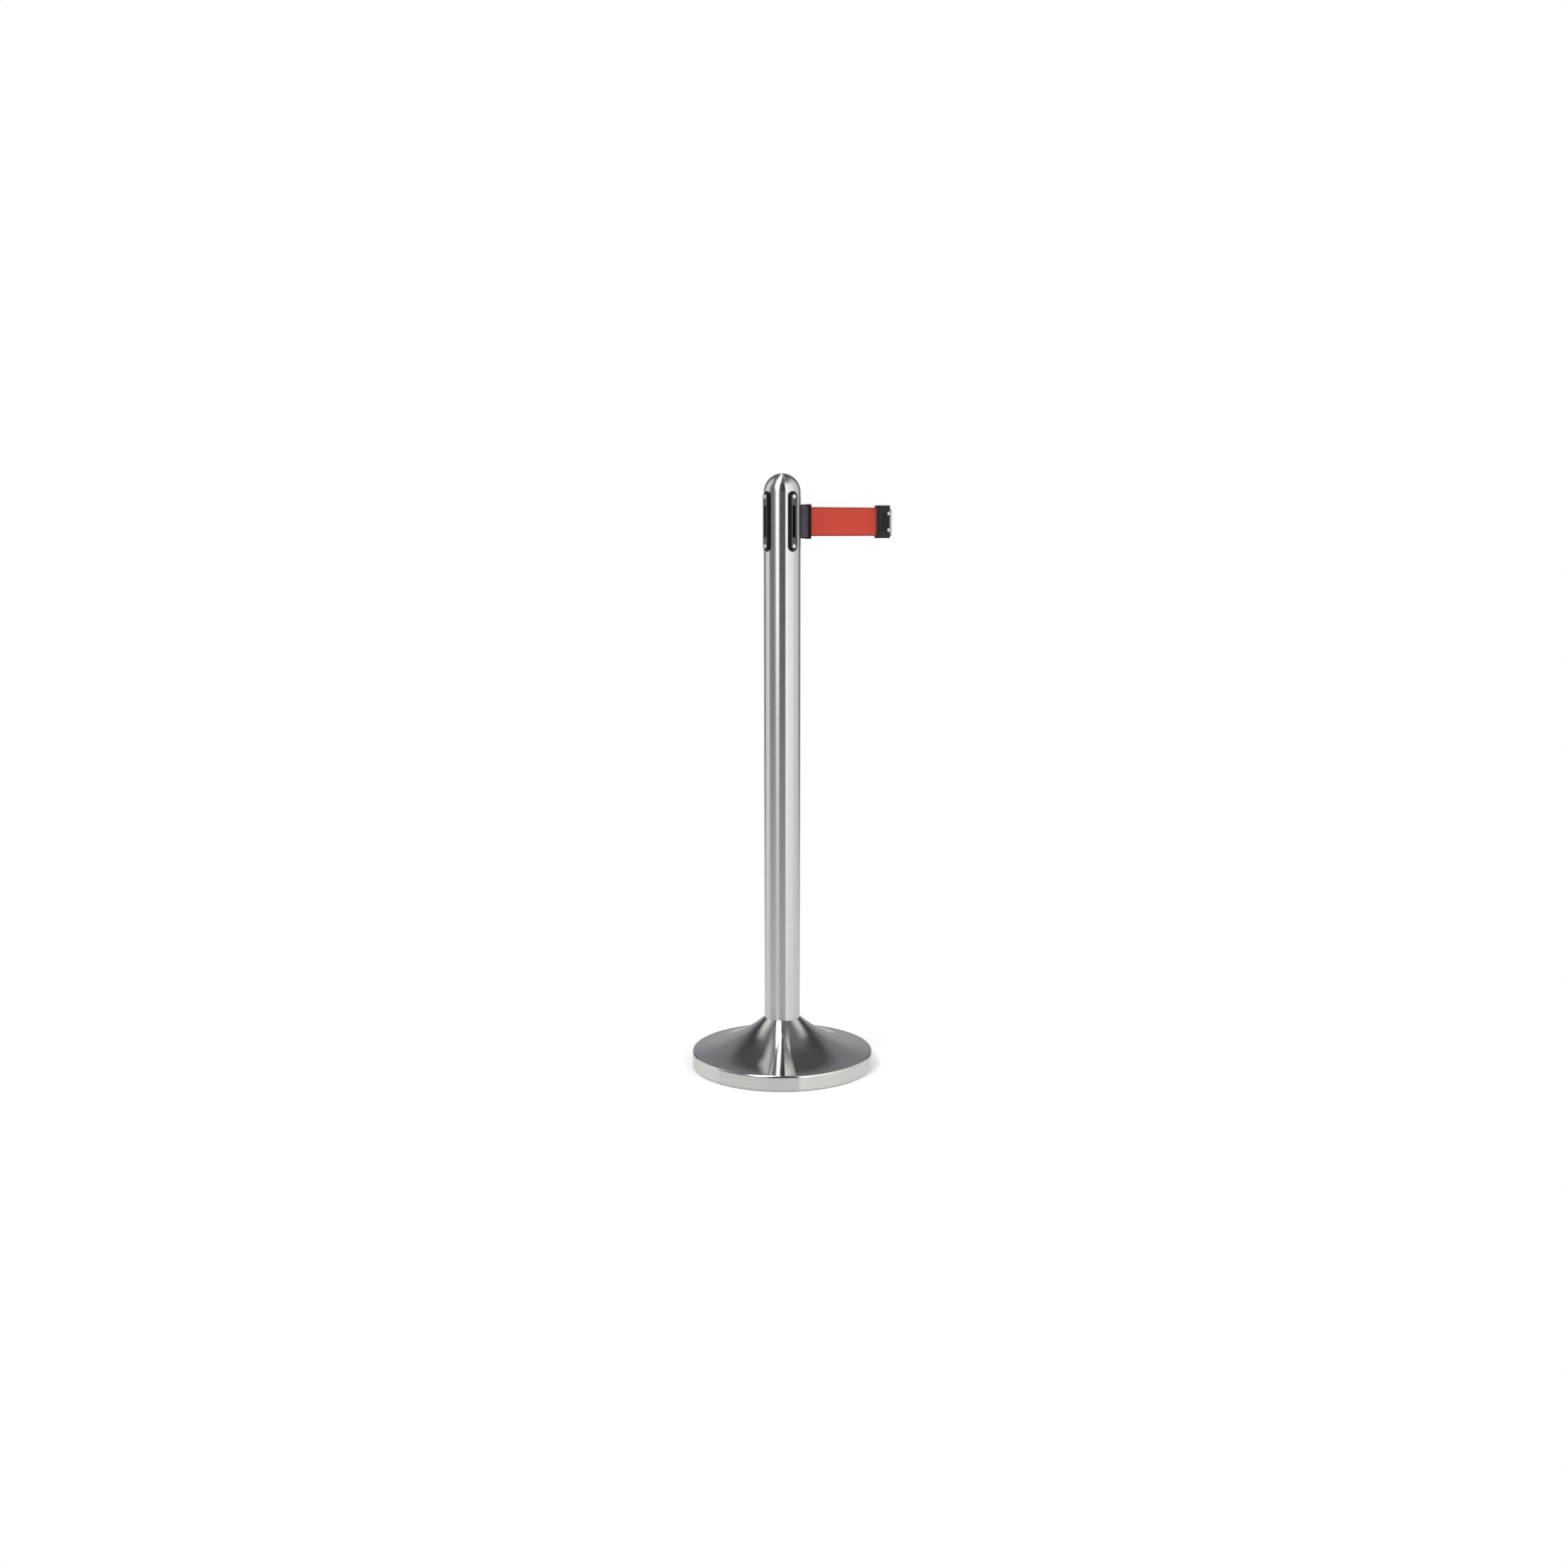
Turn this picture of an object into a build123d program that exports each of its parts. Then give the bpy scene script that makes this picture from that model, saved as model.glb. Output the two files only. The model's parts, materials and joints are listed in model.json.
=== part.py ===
from build123d import *
import math
import os

os.makedirs("parts", exist_ok=True)

# A free-standing post with a belt that winds into its head. Millimetres, +Z up.
# The origin is the centre of the base on the floor, and the belt leaves along +X.

# ---- Driving dimensions ----
total_height = 1000.0
tube_radius = 30.15
tube_wall = 1.2
base_radius = 154.5
rim_top_radius = 153.6
rim_height = 26.5
head_z = 922.0
belt_width = 48.0
belt_thickness = 0.55
belt_reach = 2000.0
belt_anchor = 100.0
belt_shown = 142.2
nozzle_end = 54.0
fit_gap = 0.05
moving_gap = 0.3

# Base: rubber pad, cast weight and spun cover
pad_height = 3.0
pad_radius = 150.0
pad_land_radius = 118.0
pad_centre_radius = 60.0
pad_groove_depth = 1.0
weight_radius = 150.0
weight_web_z = 16.0
weight_lip_z = 25.2
weight_lip_width = 6.0
hub_radius = 40.0
hub_z = 31.0
tube_foot_z = 26.0
recess_radius = 20.0
recess_roof_z = 15.5
cover_sheet = 1.0
cover_neck_z = 83.5
cover_neck_slope = 42.0
cover_edge_radius = 2.5
cover_bottom_z = 1.5
neck_gap = 0.35

# Tie bolt and the plug it screws into
bolt_radius = 5.9
bolt_bore = 6.0
bolt_clear_radius = 6.6
bolt_top_z = 52.0
bolt_head_flats = 19.0
bolt_head_height = 7.5
washer_radius = 12.0
washer_height = 2.5
split_washer_radius = 10.0
split_washer_slit = 1.6
split_washer_slant = 20.0
plug_height = 32.0

# Dome cap
dome_seam_z = 967.0
dome_sheet = 1.2
seam_bevel = 0.35
spigot_wall = 1.35
spigot_drop = 2.4
stud_radius = 4.0
stud_low_z = 959.2
stud_plate_radius = 8.0
stud_plate_height = 1.6

# Receivers and mouthpiece on the four sides of the head
plate_length = 98.0
plate_width = 18.0
plate_recess = 0.4
mouth_plate_face = 32.0
mouth_plate_bevel = 1.3
mouth_plate_rim = 3.1
receiver_face = 34.2
receiver_bevel_height = 3.8
receiver_bevel = 3.0
receiver_rim = 4.0
pocket_back = 23.2
pocket_floor = 24.6
pocket_width = 12.0
pocket_low = -33.0
pocket_high = 28.0
pocket_seat = 30.9
slot_width = 4.8
slot_height = 51.4
hook_room = 31.0
lip_back = 30.9
window_gap = 0.3
spigot_back = 25.8
nozzle_width = 14.0
nozzle_height = 55.7
nozzle_corner = 1.6
flare_length = 3.2
flare_extra = 1.5
mouth_width = 4.8
mouth_height = 50.4
mouth_chamfer = 1.2

# Screws
plate_screw_spacing = 80.0
plate_screw_radius = 1.7
plate_screw_tip = 22.4
plate_head_radius = 3.2
plate_head_height = 1.2
plate_head_round = 0.8
cross_length = 3.4
cross_width = 0.8
cross_depth = 0.7
small_screw_radius = 1.25
small_head_radius = 2.4
small_head_height = 1.6
small_screw_ring = 25.0
small_screw_depth = 7.0
hole_gap = 0.05
pilot_extra = 1.0

# Cassette that holds the spool, fixed inside the tube by the plate screws
cassette_radius = 28.6
cassette_low_z = 873.0
cassette_floor_z = 893.0
cassette_ceiling_z = 952.0
cassette_shoulder_z = 964.4
cassette_top_z = 966.6
cassette_neck_radius = 27.2
pillar_inner_radius = 21.9
pillar_half_angle = 16.0
notch_width = 12.8
notch_back = 22.7
notch_low_z = 888.4
shaft_radius = 3.0
shaft_low_z = 845.9
shaft_high_z = 956.8
shaft_clear_radius = 7.0
bushing_radius = 5.0
bushing_flange_radius = 7.5
bushing_flange = 1.0
lower_bushing_z = 885.0
upper_bushing_z = 957.0
insert_radius = 5.5
insert_low_z = 958.6
guide_pin_radius = 1.2
guide_pin_x = 23.9
guide_pin_low_z = 885.0
guide_pin_high_z = 955.0

# Spool and spring
spool_hub_radius = 6.0
spool_hub_low_z = 894.2
spool_hub_high_z = 950.8
flange_radius = 21.2
flange_height = 2.0
flange_side_gap = 0.6
flange_window_ring = 13.6
flange_window_radius = 3.2
flange_windows = 6
press_gap = 0.02
housing_radius = 28.4
housing_inner_radius = 22.6
housing_roof = 2.0
housing_low_z = 847.5
housing_high_z = 872.9
lid_height = 2.0
arbor_radius = 6.5
arbor_low_z = 848.5
arbor_high_z = 871.5
spring_start_radius = 7.4
spring_pitch = 1.6
spring_turns = 9
spring_strip = 0.5
spring_low_z = 849.5
spring_high_z = 869.5

# End clip
clip_length = 25.8
clip_depth = 13.0
clip_height = 55.7
clip_edge_radius = 2.2
clip_grip_ribs = 5
clip_grip_pitch = 3.0
clip_grip_height = 34.0
clip_grip_width = 1.2
clip_grip_depth = 0.5
clip_slot_half = 0.85
clip_slot_height = 49.6
clip_pin_x = 12.0
clip_pin_radius = 1.5
clip_pin_height = 49.0
clip_pin_pocket = 3.2
belt_loop_gap = 0.35
tongue_thickness = 3.4
tongue_root_x = 17.6
tongue_root_height = 44.0
tongue_fit = 0.05
blade_low = -19.7
blade_high = 22.0
hook_low = -24.9
hook_start = 3.5
blade_reach = 6.9
clip_screw_x = 21.8
clip_screw_z = 14.0
clip_screw_radius = 1.3
clip_screw_head_radius = 2.6
clip_screw_head_depth = 1.6
clip_screw_length = 9.0

# ---- Worked out from the driving dimensions ----
tube_inner_radius = tube_radius - tube_wall
dome_centre_z = total_height - tube_radius
wound_length = belt_reach - belt_shown + belt_anchor
wound_radius = math.sqrt(spool_hub_radius**2 + belt_thickness * wound_length / math.pi)
belt_half = belt_thickness / 2
belt_low_z = head_z - belt_width / 2
guide_pin_y = guide_pin_radius + 2 * fit_gap + belt_half
clip_x = nozzle_end + belt_shown
side_angles = (0, 90, 180, 270)
receiver_angles = side_angles[1:]
corner_angles = (45, 135, 225, 315)


def side_plane(angle, distance, height=head_z):
    """Plane that faces outwards at this angle about the post, its X level and its Y upright."""
    outward = Vector(1, 0, 0).rotate(Axis.Z, angle)
    sideways = Vector(0, 1, 0).rotate(Axis.Z, angle)
    return Plane(origin=outward * distance + Vector(0, 0, height), x_dir=sideways, z_dir=outward)


# ---- Base ----
# Rubber pad that stands on an outer land and a centre land, with a shallow groove between.
with BuildPart() as floor_pad:
    with BuildSketch():
        Circle(pad_radius)
    extrude(amount=pad_height)
    with BuildSketch():
        Circle(pad_land_radius)
        Circle(pad_centre_radius, mode=Mode.SUBTRACT)
    extrude(amount=pad_groove_depth, mode=Mode.SUBTRACT)
    rim_edges = floor_pad.edges().group_by(Axis.Z)[0].sort_by(SortBy.RADIUS)[-1:]
    fillet(rim_edges, radius=pad_height / 4)
floor_pad.part.label = "floor_pad"
export_step(floor_pad.part, "parts/floor_pad.step")

# Cast disc with a raised lip under the cover's edge and a hub that the tube stands in.
with BuildPart() as base_weight:
    with BuildSketch(Plane.XZ):
        with BuildLine():
            Polyline(
                (bolt_clear_radius, recess_roof_z),
                (recess_radius, recess_roof_z),
                (recess_radius, pad_height),
                (weight_radius, pad_height),
                (weight_radius, weight_lip_z),
                (weight_radius - weight_lip_width, weight_lip_z),
                (weight_radius - 2 * weight_lip_width, weight_web_z),
                (hub_radius + weight_lip_width, weight_web_z),
                (hub_radius, hub_z),
                (tube_radius + fit_gap, hub_z),
                (tube_radius + fit_gap, tube_foot_z),
                (bolt_clear_radius, tube_foot_z),
                close=True,
            )
        make_face()
    revolve(axis=Axis.Z)
base_weight.part.label = "base_weight"
export_step(base_weight.part, "parts/base_weight.step")

# Spun sheet: a hollow curve from the tube down to a rounded edge, then a slightly flared rim.
neck_radius = tube_radius + neck_gap
neck_angle = math.radians(cover_neck_slope)
with BuildPart() as base_cover:
    with BuildSketch(Plane.XZ):
        with BuildLine():
            slope = TangentArc(
                (neck_radius, cover_neck_z),
                (rim_top_radius - cover_edge_radius, rim_height),
                tangent=(math.cos(neck_angle), -math.sin(neck_angle)),
            )
            edge_bend = TangentArc(
                slope @ 1,
                (rim_top_radius, rim_height - cover_edge_radius),
                tangent=slope % 1,
            )
            Line(edge_bend @ 1, (base_radius, cover_bottom_z))
            offset(amount=cover_sheet, side=Side.RIGHT)
        make_face()
        Rectangle(2 * tube_radius + neck_gap, 4 * cover_neck_z, mode=Mode.SUBTRACT)
    revolve(axis=Axis.Z)
base_cover.part.label = "base_cover"
export_step(base_cover.part, "parts/base_cover.step")

with BuildPart() as tube_foot_plug:
    with BuildSketch(Plane.XY.offset(tube_foot_z)):
        Circle(tube_inner_radius - fit_gap)
        Circle(bolt_bore, mode=Mode.SUBTRACT)
    extrude(amount=plug_height)
    chamfer(tube_foot_plug.edges().group_by(Axis.Z)[-1], length=bolt_bore / 4)
tube_foot_plug.part.label = "tube_foot_plug"
export_step(tube_foot_plug.part, "parts/tube_foot_plug.step")

with BuildPart() as flat_washer:
    with BuildSketch(Plane.XY.offset(recess_roof_z - washer_height)):
        Circle(washer_radius)
        Circle(bolt_clear_radius, mode=Mode.SUBTRACT)
    extrude(amount=washer_height)
flat_washer.part.label = "flat_washer"
export_step(flat_washer.part, "parts/flat_washer.step")

bolt_head_top_z = recess_roof_z - 2 * washer_height
with BuildPart() as split_washer:
    with BuildSketch(Plane.XY.offset(bolt_head_top_z)):
        Circle(split_washer_radius)
        Circle(bolt_clear_radius, mode=Mode.SUBTRACT)
        with Locations((split_washer_radius, 0)):
            Rectangle(split_washer_radius, split_washer_slit, rotation=split_washer_slant, mode=Mode.SUBTRACT)
    extrude(amount=washer_height)
split_washer.part.label = "split_washer"
export_step(split_washer.part, "parts/split_washer.step")

with BuildPart() as tie_bolt:
    with BuildSketch(Plane.XY.offset(bolt_head_top_z - bolt_head_height)):
        RegularPolygon(bolt_head_flats / 2, 6, major_radius=False)
    extrude(amount=bolt_head_height)
    with BuildSketch(Plane.XY.offset(bolt_head_top_z)):
        Circle(bolt_radius)
    extrude(amount=bolt_top_z - bolt_head_top_z)
    chamfer(tie_bolt.edges().group_by(Axis.Z)[-1], length=bolt_radius / 6)
tie_bolt.part.label = "tie_bolt"
export_step(tie_bolt.part, "parts/tie_bolt.step")

# ---- Post ----
# Each side of the head has a window for a receiver's pocket and a hole for each plate screw.
window_height = pocket_high - pocket_low + 2 * window_gap
window_middle_z = head_z + (pocket_high + pocket_low) / 2
with BuildPart() as post_tube:
    with BuildSketch(Plane.XY.offset(tube_foot_z)):
        Circle(tube_radius)
        Circle(tube_inner_radius, mode=Mode.SUBTRACT)
    extrude(amount=dome_seam_z - tube_foot_z)
    tube_top = post_tube.faces().sort_by(Axis.Z)[-1]
    chamfer(tube_top.outer_wire().edges(), length=seam_bevel)
    for angle in side_angles:
        with BuildSketch(side_plane(angle, pocket_back, window_middle_z)):
            Rectangle(pocket_width + 2 * window_gap, window_height)
        extrude(amount=pocket_back, mode=Mode.SUBTRACT)
        with BuildSketch(side_plane(angle, pocket_back)):
            with GridLocations(0, plate_screw_spacing, 1, 2):
                Circle(plate_screw_radius + 2 * hole_gap)
        extrude(amount=pocket_back, mode=Mode.SUBTRACT)
post_tube.part.label = "post_tube"
export_step(post_tube.part, "parts/post_tube.step")

# Pressed hemisphere with a short collar, joggled inwards to a spigot inside the tube.
spigot_radius = tube_inner_radius - fit_gap
with BuildPart() as dome_cap:
    with BuildSketch(Plane.XZ):
        with BuildLine():
            outside = CenterArc((0, dome_centre_z), tube_radius, 0, 90)
            inside = CenterArc((0, dome_centre_z), tube_radius - dome_sheet, 0, 90)
            Line(outside @ 1, inside @ 1)
            Polyline(
                inside @ 0,
                (spigot_radius - spigot_wall, dome_seam_z + spigot_wall),
                (spigot_radius - spigot_wall, dome_seam_z - spigot_drop),
                (spigot_radius, dome_seam_z - spigot_drop),
                (spigot_radius, dome_seam_z),
                (tube_radius - seam_bevel, dome_seam_z),
                (tube_radius, dome_seam_z + seam_bevel),
                outside @ 0,
            )
        make_face()
    revolve(axis=Axis.Z)
dome_cap.part.label = "dome_cap"
export_step(dome_cap.part, "parts/dome_cap.step")

# Threaded stud whose round plate is welded under the crown of the dome.
dome_inner_radius = tube_radius - dome_sheet
stud_plate_z = dome_centre_z + math.sqrt(dome_inner_radius**2 - stud_plate_radius**2) - fit_gap
with BuildPart() as cap_stud:
    with BuildSketch(Plane.XY.offset(stud_low_z)):
        Circle(stud_radius)
    extrude(amount=stud_plate_z - stud_low_z)
    with BuildSketch(Plane.XY.offset(stud_plate_z - stud_plate_height)):
        Circle(stud_plate_radius)
    extrude(amount=stud_plate_height)
    chamfer(cap_stud.edges().group_by(Axis.Z)[0], length=stud_radius / 6)
cap_stud.part.label = "cap_stud"
export_step(cap_stud.part, "parts/cap_stud.step")


# ---- Head: three receivers, the belt mouthpiece and their screws ----
def plate_on_side(angle, face_distance, bevel, bevel_height, rim):
    """Obround plate with bevelled edges, a sunk face and two screw holes, hollowed to the tube."""
    with BuildPart() as plate:
        with BuildSketch(side_plane(angle, pocket_floor)):
            SlotOverall(plate_length, plate_width, rotation=90)
        extrude(amount=face_distance - pocket_floor)
        front = plate.faces().sort_by(Axis((0, 0, 0), side_plane(angle, 0).z_dir))[-1]
        chamfer(front.edges(), length=bevel, length2=bevel_height, reference=front)
        with BuildSketch(side_plane(angle, face_distance - plate_recess)):
            SlotOverall(plate_length - 2 * rim, plate_width - 2 * rim, rotation=90)
        extrude(amount=plate_recess, mode=Mode.SUBTRACT)
        with BuildSketch(Plane.XY.offset(head_z - plate_length)):
            Circle(tube_radius + fit_gap)
        extrude(amount=2 * plate_length, mode=Mode.SUBTRACT)
        with BuildSketch(side_plane(angle, pocket_back)):
            with GridLocations(0, plate_screw_spacing, 1, 2):
                Circle(plate_screw_radius + 2 * hole_gap)
        extrude(amount=pocket_back, mode=Mode.SUBTRACT)
    return plate.part


def receiver_on_side(angle):
    """Plate with a slot, and behind it a pocket that is deeper below, where a clip's hook drops."""
    pocket_middle = head_z + (pocket_high + pocket_low) / 2
    room_height = hook_room + slot_height / 2
    room_middle = head_z - hook_room + room_height / 2
    with BuildPart() as receiver:
        add(plate_on_side(angle, receiver_face, receiver_bevel, receiver_bevel_height, receiver_rim))
        with BuildSketch(side_plane(angle, pocket_back, pocket_middle)):
            Rectangle(pocket_width, pocket_high - pocket_low)
        extrude(amount=pocket_seat - pocket_back)
        with BuildSketch(side_plane(angle, pocket_floor)):
            Rectangle(slot_width, slot_height)
        extrude(amount=pocket_back, mode=Mode.SUBTRACT)
        with BuildSketch(side_plane(angle, pocket_floor, room_middle)):
            Rectangle(slot_width, room_height)
        extrude(amount=lip_back - pocket_floor, mode=Mode.SUBTRACT)
    return receiver.part


with BuildPart() as receiver_back:
    add(receiver_on_side(90))
receiver_back.part.label = "receiver_back"
export_step(receiver_back.part, "parts/receiver_back.step")

with BuildPart() as receiver_left:
    add(receiver_on_side(180))
receiver_left.part.label = "receiver_left"
export_step(receiver_left.part, "parts/receiver_left.step")

with BuildPart() as receiver_front:
    add(receiver_on_side(270))
receiver_front.part.label = "receiver_front"
export_step(receiver_front.part, "parts/receiver_front.step")

# The mouthpiece has the same plate, a spigot through the window and a nozzle with a flared end.
with BuildPart() as mouthpiece:
    add(plate_on_side(0, mouth_plate_face, mouth_plate_bevel, mouth_plate_bevel, mouth_plate_rim))
    with BuildSketch(side_plane(0, spigot_back)):
        Rectangle(pocket_width, 2 * pocket_high)
    extrude(amount=pocket_seat - spigot_back)
    with BuildSketch(side_plane(0, pocket_seat)):
        RectangleRounded(nozzle_width, nozzle_height, nozzle_corner)
    extrude(amount=nozzle_end - pocket_seat)
    with BuildSketch(side_plane(0, nozzle_end - flare_length)):
        RectangleRounded(nozzle_width + flare_extra, nozzle_height + flare_extra, nozzle_corner)
    extrude(amount=flare_length)
    mouth_face = mouthpiece.faces().sort_by(Axis.X)[-1]
    fillet(mouth_face.edges(), radius=flare_extra / 3)
    with BuildSketch(side_plane(0, spigot_back)):
        Rectangle(mouth_width, mouth_height)
    extrude(amount=nozzle_end, mode=Mode.SUBTRACT)
    mouth_edges = mouthpiece.faces().sort_by(Axis.X)[-1].inner_wires().edges()
    chamfer(mouth_edges, length=mouth_chamfer)
mouthpiece.part.label = "mouthpiece"
export_step(mouthpiece.part, "parts/mouthpiece.step")


def plate_screw(angle, rise, face_distance):
    """Raised cross-head screw that goes through a plate and the tube into the cassette."""
    seat = face_distance - plate_recess
    height = head_z + rise
    with BuildPart() as screw:
        with BuildSketch(side_plane(angle, plate_screw_tip, height)):
            Circle(plate_screw_radius)
        extrude(amount=seat - plate_screw_tip)
        with BuildSketch(side_plane(angle, seat, height)):
            Circle(plate_head_radius)
        extrude(amount=plate_head_height)
        crown = screw.faces().sort_by(Axis((0, 0, 0), side_plane(angle, 0).z_dir))[-1]
        fillet(crown.edges(), radius=plate_head_round)
        with BuildSketch(side_plane(angle, seat + plate_head_height, height)):
            Rectangle(cross_length, cross_width)
            Rectangle(cross_width, cross_length)
        extrude(amount=-cross_depth, mode=Mode.SUBTRACT)
    return screw.part


with BuildPart() as plate_screws:
    for rise in (-plate_screw_spacing / 2, plate_screw_spacing / 2):
        add(plate_screw(0, rise, mouth_plate_face))
        for angle in receiver_angles:
            add(plate_screw(angle, rise, receiver_face))
plate_screws.part.label = "plate_screws"
export_step(plate_screws.part, "parts/plate_screws.step")

# ---- Cassette ----
# Lower block with four pillars; notches let the receivers' pockets in.
with BuildPart() as cassette_body:
    with BuildSketch(Plane.XY.offset(cassette_low_z)):
        Circle(cassette_radius)
    extrude(amount=cassette_floor_z - cassette_low_z)
    with BuildSketch(Plane.XY.offset(cassette_floor_z)):
        for angle in corner_angles:
            with BuildLine():
                low_angle = angle - pillar_half_angle
                outer = CenterArc((0, 0), cassette_radius, low_angle, 2 * pillar_half_angle)
                inner = CenterArc((0, 0), pillar_inner_radius, low_angle, 2 * pillar_half_angle)
                Line(outer @ 0, inner @ 0)
                Line(outer @ 1, inner @ 1)
            make_face()
    extrude(amount=cassette_ceiling_z - cassette_floor_z)
    for angle in side_angles:
        notch_middle = (notch_low_z + cassette_floor_z) / 2
        with BuildSketch(side_plane(angle, notch_back, notch_middle)):
            Rectangle(notch_width, cassette_floor_z - notch_low_z)
        extrude(amount=notch_back, mode=Mode.SUBTRACT)
        with BuildSketch(side_plane(angle, plate_screw_tip - pilot_extra, head_z - plate_screw_spacing / 2)):
            Circle(plate_screw_radius + hole_gap)
        extrude(amount=notch_back, mode=Mode.SUBTRACT)
    with BuildSketch(Plane.XY.offset(cassette_low_z)):
        Circle(shaft_clear_radius)
    extrude(amount=lower_bushing_z - cassette_low_z, mode=Mode.SUBTRACT)
    with BuildSketch(Plane.XY.offset(lower_bushing_z)):
        Circle(bushing_radius + press_gap)
    extrude(amount=cassette_floor_z - lower_bushing_z, mode=Mode.SUBTRACT)
    with BuildSketch(Plane.XY.offset(cassette_low_z)):
        with PolarLocations(small_screw_ring, len(corner_angles), start_angle=corner_angles[0]):
            Circle(small_screw_radius + hole_gap)
    extrude(amount=small_screw_depth, mode=Mode.SUBTRACT)
    with BuildSketch(Plane.XY.offset(cassette_ceiling_z)):
        with PolarLocations(small_screw_ring, len(corner_angles), start_angle=corner_angles[0]):
            Circle(small_screw_radius + hole_gap)
    extrude(amount=-small_screw_depth, mode=Mode.SUBTRACT)
    with BuildSketch(Plane.XY.offset(guide_pin_low_z)):
        with Locations((guide_pin_x, guide_pin_y), (guide_pin_x, -guide_pin_y)):
            Circle(guide_pin_radius + hole_gap)
    extrude(amount=cassette_floor_z - guide_pin_low_z, mode=Mode.SUBTRACT)
cassette_body.part.label = "cassette_body"
export_step(cassette_body.part, "parts/cassette_body.step")

# Upper block, with a neck that stands inside the dome's spigot.
with BuildPart() as cassette_top:
    with BuildSketch(Plane.XY.offset(cassette_ceiling_z)):
        Circle(cassette_radius)
    extrude(amount=cassette_shoulder_z - cassette_ceiling_z)
    with BuildSketch(Plane.XY.offset(cassette_shoulder_z)):
        Circle(cassette_neck_radius)
    extrude(amount=cassette_top_z - cassette_shoulder_z)
    for angle in side_angles:
        with BuildSketch(side_plane(angle, plate_screw_tip - pilot_extra, head_z + plate_screw_spacing / 2)):
            Circle(plate_screw_radius + hole_gap)
        extrude(amount=notch_back, mode=Mode.SUBTRACT)
    with BuildSketch(Plane.XY.offset(cassette_ceiling_z)):
        Circle(bushing_radius + press_gap)
    extrude(amount=upper_bushing_z - cassette_ceiling_z, mode=Mode.SUBTRACT)
    with BuildSketch(Plane.XY.offset(insert_low_z)):
        Circle(insert_radius + press_gap)
    extrude(amount=cassette_top_z - insert_low_z, mode=Mode.SUBTRACT)
    with BuildSketch(Plane.XY.offset(cassette_ceiling_z)):
        with PolarLocations(small_screw_ring, len(corner_angles), start_angle=corner_angles[0]):
            Circle(small_screw_radius + 2 * hole_gap)
    extrude(amount=cassette_top_z - cassette_ceiling_z, mode=Mode.SUBTRACT)
    with BuildSketch(Plane.XY.offset(cassette_ceiling_z)):
        with Locations((guide_pin_x, guide_pin_y), (guide_pin_x, -guide_pin_y)):
            Circle(guide_pin_radius + hole_gap)
    extrude(amount=guide_pin_high_z - cassette_ceiling_z, mode=Mode.SUBTRACT)
cassette_top.part.label = "cassette_top"
export_step(cassette_top.part, "parts/cassette_top.step")

with BuildPart() as cassette_screws:
    with BuildSketch(Plane.XY.offset(cassette_ceiling_z - small_screw_depth + pilot_extra)):
        with PolarLocations(small_screw_ring, len(corner_angles), start_angle=corner_angles[0]):
            Circle(small_screw_radius)
    extrude(amount=cassette_top_z - cassette_ceiling_z + small_screw_depth - pilot_extra)
    with BuildSketch(Plane.XY.offset(cassette_top_z)):
        with PolarLocations(small_screw_ring, len(corner_angles), start_angle=corner_angles[0]):
            Circle(small_head_radius)
    extrude(amount=small_head_height)
    fillet(cassette_screws.edges().group_by(Axis.Z)[-1], radius=small_head_height / 3)
cassette_screws.part.label = "cassette_screws"
export_step(cassette_screws.part, "parts/cassette_screws.step")

# Threaded insert for the dome's stud
with BuildPart() as cap_insert:
    with BuildSketch(Plane.XY.offset(insert_low_z)):
        Circle(insert_radius)
    extrude(amount=cassette_top_z - insert_low_z)
    with BuildSketch(Plane.XY.offset(stud_low_z - fit_gap)):
        Circle(stud_radius + hole_gap)
    extrude(amount=cassette_top_z - stud_low_z + fit_gap, mode=Mode.SUBTRACT)
cap_insert.part.label = "cap_insert"
export_step(cap_insert.part, "parts/cap_insert.step")

# Flanged bushings that the spool's shaft turns in
with BuildPart() as lower_bushing:
    with BuildSketch(Plane.XY.offset(lower_bushing_z)):
        Circle(bushing_radius)
    extrude(amount=cassette_floor_z - lower_bushing_z)
    with BuildSketch(Plane.XY.offset(cassette_floor_z)):
        Circle(bushing_flange_radius)
    extrude(amount=bushing_flange)
    with BuildSketch(Plane.XY.offset(lower_bushing_z)):
        Circle(shaft_radius + hole_gap)
    extrude(amount=cassette_floor_z + bushing_flange - lower_bushing_z, mode=Mode.SUBTRACT)
lower_bushing.part.label = "lower_bushing"
export_step(lower_bushing.part, "parts/lower_bushing.step")

with BuildPart() as upper_bushing:
    with BuildSketch(Plane.XY.offset(cassette_ceiling_z)):
        Circle(bushing_radius)
    extrude(amount=upper_bushing_z - cassette_ceiling_z)
    with BuildSketch(Plane.XY.offset(cassette_ceiling_z)):
        Circle(bushing_flange_radius)
    extrude(amount=-bushing_flange)
    with BuildSketch(Plane.XY.offset(cassette_ceiling_z - bushing_flange)):
        Circle(shaft_radius + hole_gap)
    extrude(amount=upper_bushing_z - cassette_ceiling_z + bushing_flange, mode=Mode.SUBTRACT)
upper_bushing.part.label = "upper_bushing"
export_step(upper_bushing.part, "parts/upper_bushing.step")

# Two steel pins that the belt runs between on its way to the mouthpiece
with BuildPart() as belt_guide_pins:
    with BuildSketch(Plane.XY.offset(guide_pin_low_z)):
        with Locations((guide_pin_x, guide_pin_y), (guide_pin_x, -guide_pin_y)):
            Circle(guide_pin_radius)
    extrude(amount=guide_pin_high_z - guide_pin_low_z)
belt_guide_pins.part.label = "belt_guide_pins"
export_step(belt_guide_pins.part, "parts/belt_guide_pins.step")

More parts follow.
